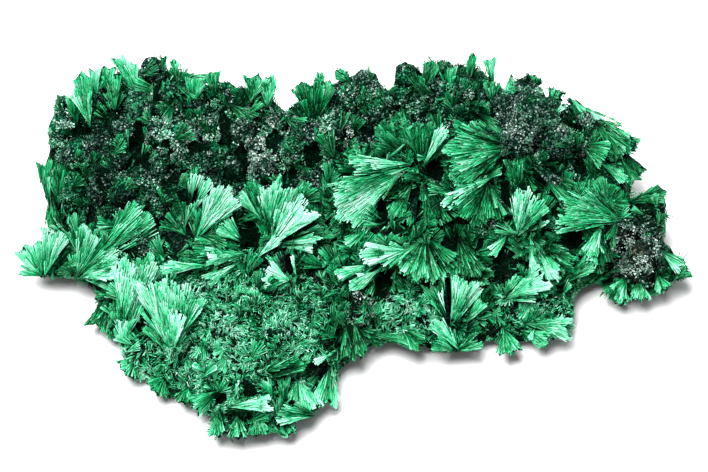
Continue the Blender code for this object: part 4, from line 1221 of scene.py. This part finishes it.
def ranged(tree, value, low, high, to_low=0.0, to_high=1.0):
    """A value between two bounds, carried over to between two others."""
    bounds = {"From_Min": low, "From_Max": high, "To_Min": to_low, "To_Max": to_high}
    return node(tree, "ShaderNodeMapRange", Value=value, **bounds).outputs["Result"]


def ramped(tree, value, stops):
    """A colour by a value, from stops that are pairs of a place and a colour."""
    made = node(tree, "ShaderNodeValToRGB", Fac=value)
    elements = made.color_ramp.elements
    while len(elements) < len(stops):
        elements.new(0.5)
    for element, (place, colour) in zip(elements, stops):
        element.position = place
        element.color = (*colour, 1)
    return made.outputs["Color"]


def mixed(tree, share, first, second):
    """A colour between two others, by a share from 0 to 1."""
    made = node(tree, "ShaderNodeMix", data_type="RGBA", Factor=share)
    feed(tree, first, made.inputs[6])
    feed(tree, second, made.inputs[7])
    return made.outputs[2]


def noise(tree, place, scale, detail):
    """Soft noise over places."""
    return node(tree, "ShaderNodeTexNoise", Vector=place, Scale=scale, Detail=detail).outputs


def facets(tree, place, scale):
    """Cells over places: a random number for each, and the distance from its middle."""
    cells = node(tree, "ShaderNodeTexVoronoi", Vector=place, Scale=scale).outputs
    split = node(tree, "ShaderNodeSeparateColor", Color=cells["Color"]).outputs
    return split["Red"], cells["Distance"]


def shifted(tree, tone, pattern, amount):
    """A tone moved up and down by a pattern that runs from 0 to 1."""
    about_zero = maths(tree, "SUBTRACT", pattern, 0.5)
    return maths(tree, "ADD", tone, maths(tree, "MULTIPLY", about_zero, amount))


def open_share(tree, reach):
    """How open a place is, from 0 in a crevice to 1."""
    return node(tree, "ShaderNodeAmbientOcclusion", samples=AO_RAYS, Distance=reach).outputs["AO"]


def new_group(name, inputs, outputs):
    """A node group with these sockets, given as names and kinds."""
    tree = bpy.data.node_groups.new(name, "ShaderNodeTree")
    for socket, kind in inputs.items():
        tree.interface.new_socket(socket, in_out="INPUT", socket_type=kind)
    for socket, kind in outputs.items():
        tree.interface.new_socket(socket, in_out="OUTPUT", socket_type=kind)
    return tree


def malachite_green_group():
    """From a tone, the green of the mineral, from near black through emerald to a pale mint.

    Patches shift the tone over millimetres, and streaks shift it finely along each needle. Ambient occlusion
    darkens crevices with a painted shade, and streaks of pale silvery mint over the lighter tones are a
    painted sheen.
    """
    tree = new_group(
        "malachite green",
        {"Tone": NUMBER, "Patchiness": NUMBER, "Streakiness": NUMBER},
        {"Color": COLOUR, "Roughness": NUMBER, "Shine": NUMBER, "Streaks": NUMBER},
    )
    given = node(tree, "NodeGroupInput").outputs
    result = node(tree, "NodeGroupOutput").inputs
    place = node(tree, "ShaderNodeTexCoord").outputs["Object"]
    blotches = noise(tree, place, BLOTCHES_PER_M, 3.0)["Fac"]
    tone = shifted(tree, given["Tone"], blotches, given["Patchiness"])
    fibre = node(tree, "ShaderNodeAttribute", attribute_name="fibre").outputs["Vector"]
    streaks = noise(tree, vector_maths(tree, "MULTIPLY", fibre, STREAKS_PER_MM, "Vector"), 1.0, 2.0)
    tone = shifted(tree, tone, streaks["Fac"], given["Streakiness"])
    # Painted shade: ambient occlusion darkens the tone in crevices.
    tone = maths(tree, "ADD", tone, ranged(tree, open_share(tree, CREVICE_DEPTH), 0, 1, *CREVICE_PAINTED_SHADE))
    streak_kind = node(tree, "ShaderNodeSeparateColor", Color=streaks["Color"]).outputs["Green"]
    # Painted sheen: streaks of pale silvery mint over the lighter tones.
    sheen_streaks = ranged(tree, streak_kind, *PAINTED_SHEEN_FROM, 0, PAINTED_SHEEN_SHARE)
    sheen = ranged(tree, noise(tree, place, SHEEN_PER_M, 3.0)["Fac"], *SHEEN_FROM, *SHEEN_PATCHES)
    in_patches = maths(tree, "MULTIPLY", sheen_streaks, sheen)
    painted_sheen = maths(tree, "MULTIPLY", in_patches, ranged(tree, tone, *LIT_FROM), use_clamp=True)
    feed(tree, mixed(tree, painted_sheen, ramped(tree, tone, GREEN_STOPS), PAINTED_SHEEN_COLOUR), result["Color"])
    feed(tree, ranged(tree, tone, 0, 1, *ROUGHNESS), result["Roughness"])
    feed(tree, ranged(tree, tone, *SHINE_FROM, *SHINE), result["Shine"])
    feed(tree, streaks["Fac"], result["Streaks"])
    return tree


def frost_patches_group():
    """Where the druse is frosted rather than green: in patches, and all over the dark dome."""
    tree = new_group("frost patches", {}, {"Share": NUMBER})
    place = node(tree, "ShaderNodeTexCoord").outputs["Object"]
    share = ranged(tree, noise(tree, place, FROST_PATCHES_PER_M, 2.0)["Fac"], *FROST_PATCHES_FROM)
    for centre in FROSTED_CENTRES:
        away = vector_maths(tree, "DISTANCE", place, centre)
        inside = ranged(tree, away, FROSTED_REACH[1], FROSTED_REACH[0])
        share = maths(tree, "MAXIMUM", share, inside)
    feed(tree, share, node(tree, "NodeGroupOutput").inputs["Share"])
    return tree


def rust_stain_group():
    """Brown iron stain with ochre specks over the matrix at the right end."""
    tree = new_group("rust stain", {"Color": COLOUR}, {"Color": COLOUR})
    given = node(tree, "NodeGroupInput").outputs
    place = node(tree, "ShaderNodeTexCoord").outputs["Object"]
    away = vector_maths(tree, "DISTANCE", place, RUST_CENTRE)
    near = ranged(tree, away, RUST_REACH[1], RUST_REACH[0], 0, RUST_SHARE)
    some = ranged(tree, noise(tree, place, RUST_PATCHES_PER_M, 2.0)["Fac"], *RUST_PATCHES_FROM)
    specks = ramped(tree, noise(tree, place, RUST_SPECKS_PER_M, 4.0)["Fac"], RUST_STOPS)
    stained = mixed(tree, maths(tree, "MULTIPLY", near, some), given["Color"], specks)
    feed(tree, stained, node(tree, "NodeGroupOutput").inputs["Color"])
    return tree


GREEN_GROUP = malachite_green_group()
RUST_GROUP = rust_stain_group()
FROST_GROUP = frost_patches_group()


def new_material(name):
    """A material with its node tree and its Principled shader's sockets."""
    material = bpy.data.materials.new(name)
    material.use_nodes = True
    return material, material.node_tree, material.node_tree.nodes["Principled BSDF"].inputs


def rusted(tree, colour):
    """A colour with the iron stain over it."""
    return node(tree, "ShaderNodeGroup", node_tree=RUST_GROUP, Color=colour).outputs["Color"]


def frost_share(tree):
    """How far a place is frosted, from 0 to 1."""
    return node(tree, "ShaderNodeGroup", node_tree=FROST_GROUP).outputs["Share"]


def bumped(tree, height, depth):
    """The normal of a surface that stands out by a height of this depth, in metres."""
    bump = node(tree, "ShaderNodeBump", Height=height, Distance=depth, Strength=BUMP_STRENGTH)
    return bump.outputs["Normal"]


def mineral_material(name, patchiness, streakiness, stained=True, coat=None):
    """The mineral's green, by the tone stored in the piece, under a coat if there is one, and rust."""
    material, tree, surface = new_material(name)
    tone = node(tree, "ShaderNodeAttribute", attribute_name="tone").outputs["Fac"]
    marks = {"Patchiness": patchiness, "Streakiness": streakiness}
    green = node(tree, "ShaderNodeGroup", node_tree=GREEN_GROUP, Tone=tone, **marks).outputs
    colour = coat(tree, tone, green["Color"]) if coat else green["Color"]
    feed(tree, rusted(tree, colour) if stained else colour, surface["Base Color"])
    feed(tree, green["Roughness"], surface["Roughness"])
    feed(tree, green["Shine"], surface["Specular IOR Level"])
    feed(tree, bumped(tree, green["Streaks"], STREAK_DEPTH), surface["Normal"])
    return material


def druse_coat(tree, tone, green):
    """Grains from near black through bottle green to a frosty grey, where they are frosted."""
    place = node(tree, "ShaderNodeTexCoord").outputs["Object"]
    facet = facets(tree, place, FACETS_PER_M)[0]
    glitter = maths(tree, "ADD", tone, ranged(tree, facet, 0, 1, *GLITTER))
    share = ranged(tree, frost_share(tree), 0, 1, *FROST_SHARE)
    return mixed(tree, share, green, ramped(tree, glitter, FROST_STOPS))


def matrix_material():
    """The dark body under the growths: near black in the gaps, a painted shade, and fine sparkling druse in
    the open, dimmer where it turns away, also a painted shade.
    """
    material, tree, surface = new_material("dark matrix")
    place = node(tree, "ShaderNodeTexCoord").outputs
    slope = vector_maths(tree, "DOT_PRODUCT", place["Object"], UP_PLANE)
    upper = ranged(tree, slope, *MATRIX_UPPER_FROM, MATRIX_LOWER_SHARE)
    # Painted shade: ambient occlusion turns the matrix near black in its gaps.
    unshaded_share = ranged(tree, open_share(tree, 2 * CREVICE_DEPTH), *MATRIX_OPEN_FROM)
    facet, rise = facets(tree, place["Object"], MATRIX_GRAINS_PER_M)
    # Painted shade: grains on matrix turned away from the viewer are dimmer.
    facing = vector_maths(tree, "DOT_PRODUCT", place["Normal"], OUT_OF_PLANE)
    painted_facing_light = ranged(tree, facing, *MATRIX_FACING_FROM, MATRIX_BACK_GLITTER_SHADE)
    glitter = maths(tree, "MULTIPLY", facet, painted_facing_light)
    leafy = ramped(tree, glitter, MATRIX_GREEN_STOPS)
    frost = ramped(tree, glitter, MATRIX_FROST_STOPS)
    druse = mixed(tree, frost_share(tree), leafy, frost)
    colour = mixed(tree, maths(tree, "MULTIPLY", upper, unshaded_share), MATRIX_BLACK, druse)
    feed(tree, rusted(tree, colour), surface["Base Color"])
    feed(tree, MATRIX_ROUGHNESS, surface["Roughness"])
    feed(tree, MATRIX_SHINE, surface["Specular IOR Level"])
    feed(tree, bumped(tree, rise, MATRIX_GRAIN_DEPTH), surface["Normal"])
    return material


needle_material = mineral_material("silky needles", 0.42, 0.65, stained=False)
tuft_material = mineral_material("tufted needles", 0.42, 0.65)
felt_material = mineral_material("felted fibres", 0.3, 0.8)
druse_material = mineral_material("sparkling druse", 0.25, 0.9, coat=druse_coat)
solid.data.materials.clear()
solid.data.materials.append(matrix_material())

grow_all()


def build_floor():
    bpy.ops.object.select_all(action="DESELECT")
    bpy.ops.mesh.primitive_plane_add(size=FLOOR_SIDE)
    floor = bpy.context.object
    floor.name = "floor"
    material, tree, surface = new_material("pale floor")
    feed(tree, FLOOR_COLOUR, surface["Base Color"])
    feed(tree, FLOOR_ROUGHNESS, surface["Roughness"])
    floor.data.materials.append(material)


def add_light(name, place, width, power):
    """A soft round light that shines at the middle of the specimen's foot."""
    light = bpy.data.lights.new(name, "AREA")
    light.shape = "DISK"
    light.size = width
    light.energy = power
    lamp = bpy.data.objects.new(name, light)
    lamp.location = place
    lamp.rotation_euler = (-Vector(place)).to_track_quat("-Z", "Y").to_euler()
    bpy.context.scene.collection.objects.link(lamp)


def build_studio():
    build_floor()
    add_light("key", *KEY_LIGHT)
    add_light("rim light", *RIM_LIGHT)
    world = bpy.data.worlds.new("studio")
    world.use_nodes = True
    world.node_tree.nodes["Background"].inputs["Color"].default_value = (1, 1, 1, 1)
    world.node_tree.nodes["Background"].inputs["Strength"].default_value = SKY_STRENGTH
    bpy.context.scene.world = world
    bpy.context.scene.view_settings.view_transform = "Standard"


def build_camera():
    camera = bpy.data.cameras.new("camera")
    camera.lens = LENS
    camera.sensor_width = SENSOR
    camera.clip_start, camera.clip_end = VIEW_DEPTH
    aim = np.array((MOVE_RIGHT, (PHOTO_MIDDLE_V - AIM_HEIGHT * RUN) / RISE + MOVE_BACK, AIM_HEIGHT)) * MM
    away = PHOTO_WIDTH * LENS / SENSOR
    viewer = bpy.data.objects.new("camera", camera)
    viewer.location = aim + away * OUT_OF_PLANE
    viewer.rotation_euler = (math.pi / 2 - PLANE_ELEVATION, 0, 0)
    bpy.context.scene.collection.objects.link(viewer)
    bpy.context.scene.camera = viewer


build_studio()
build_camera()
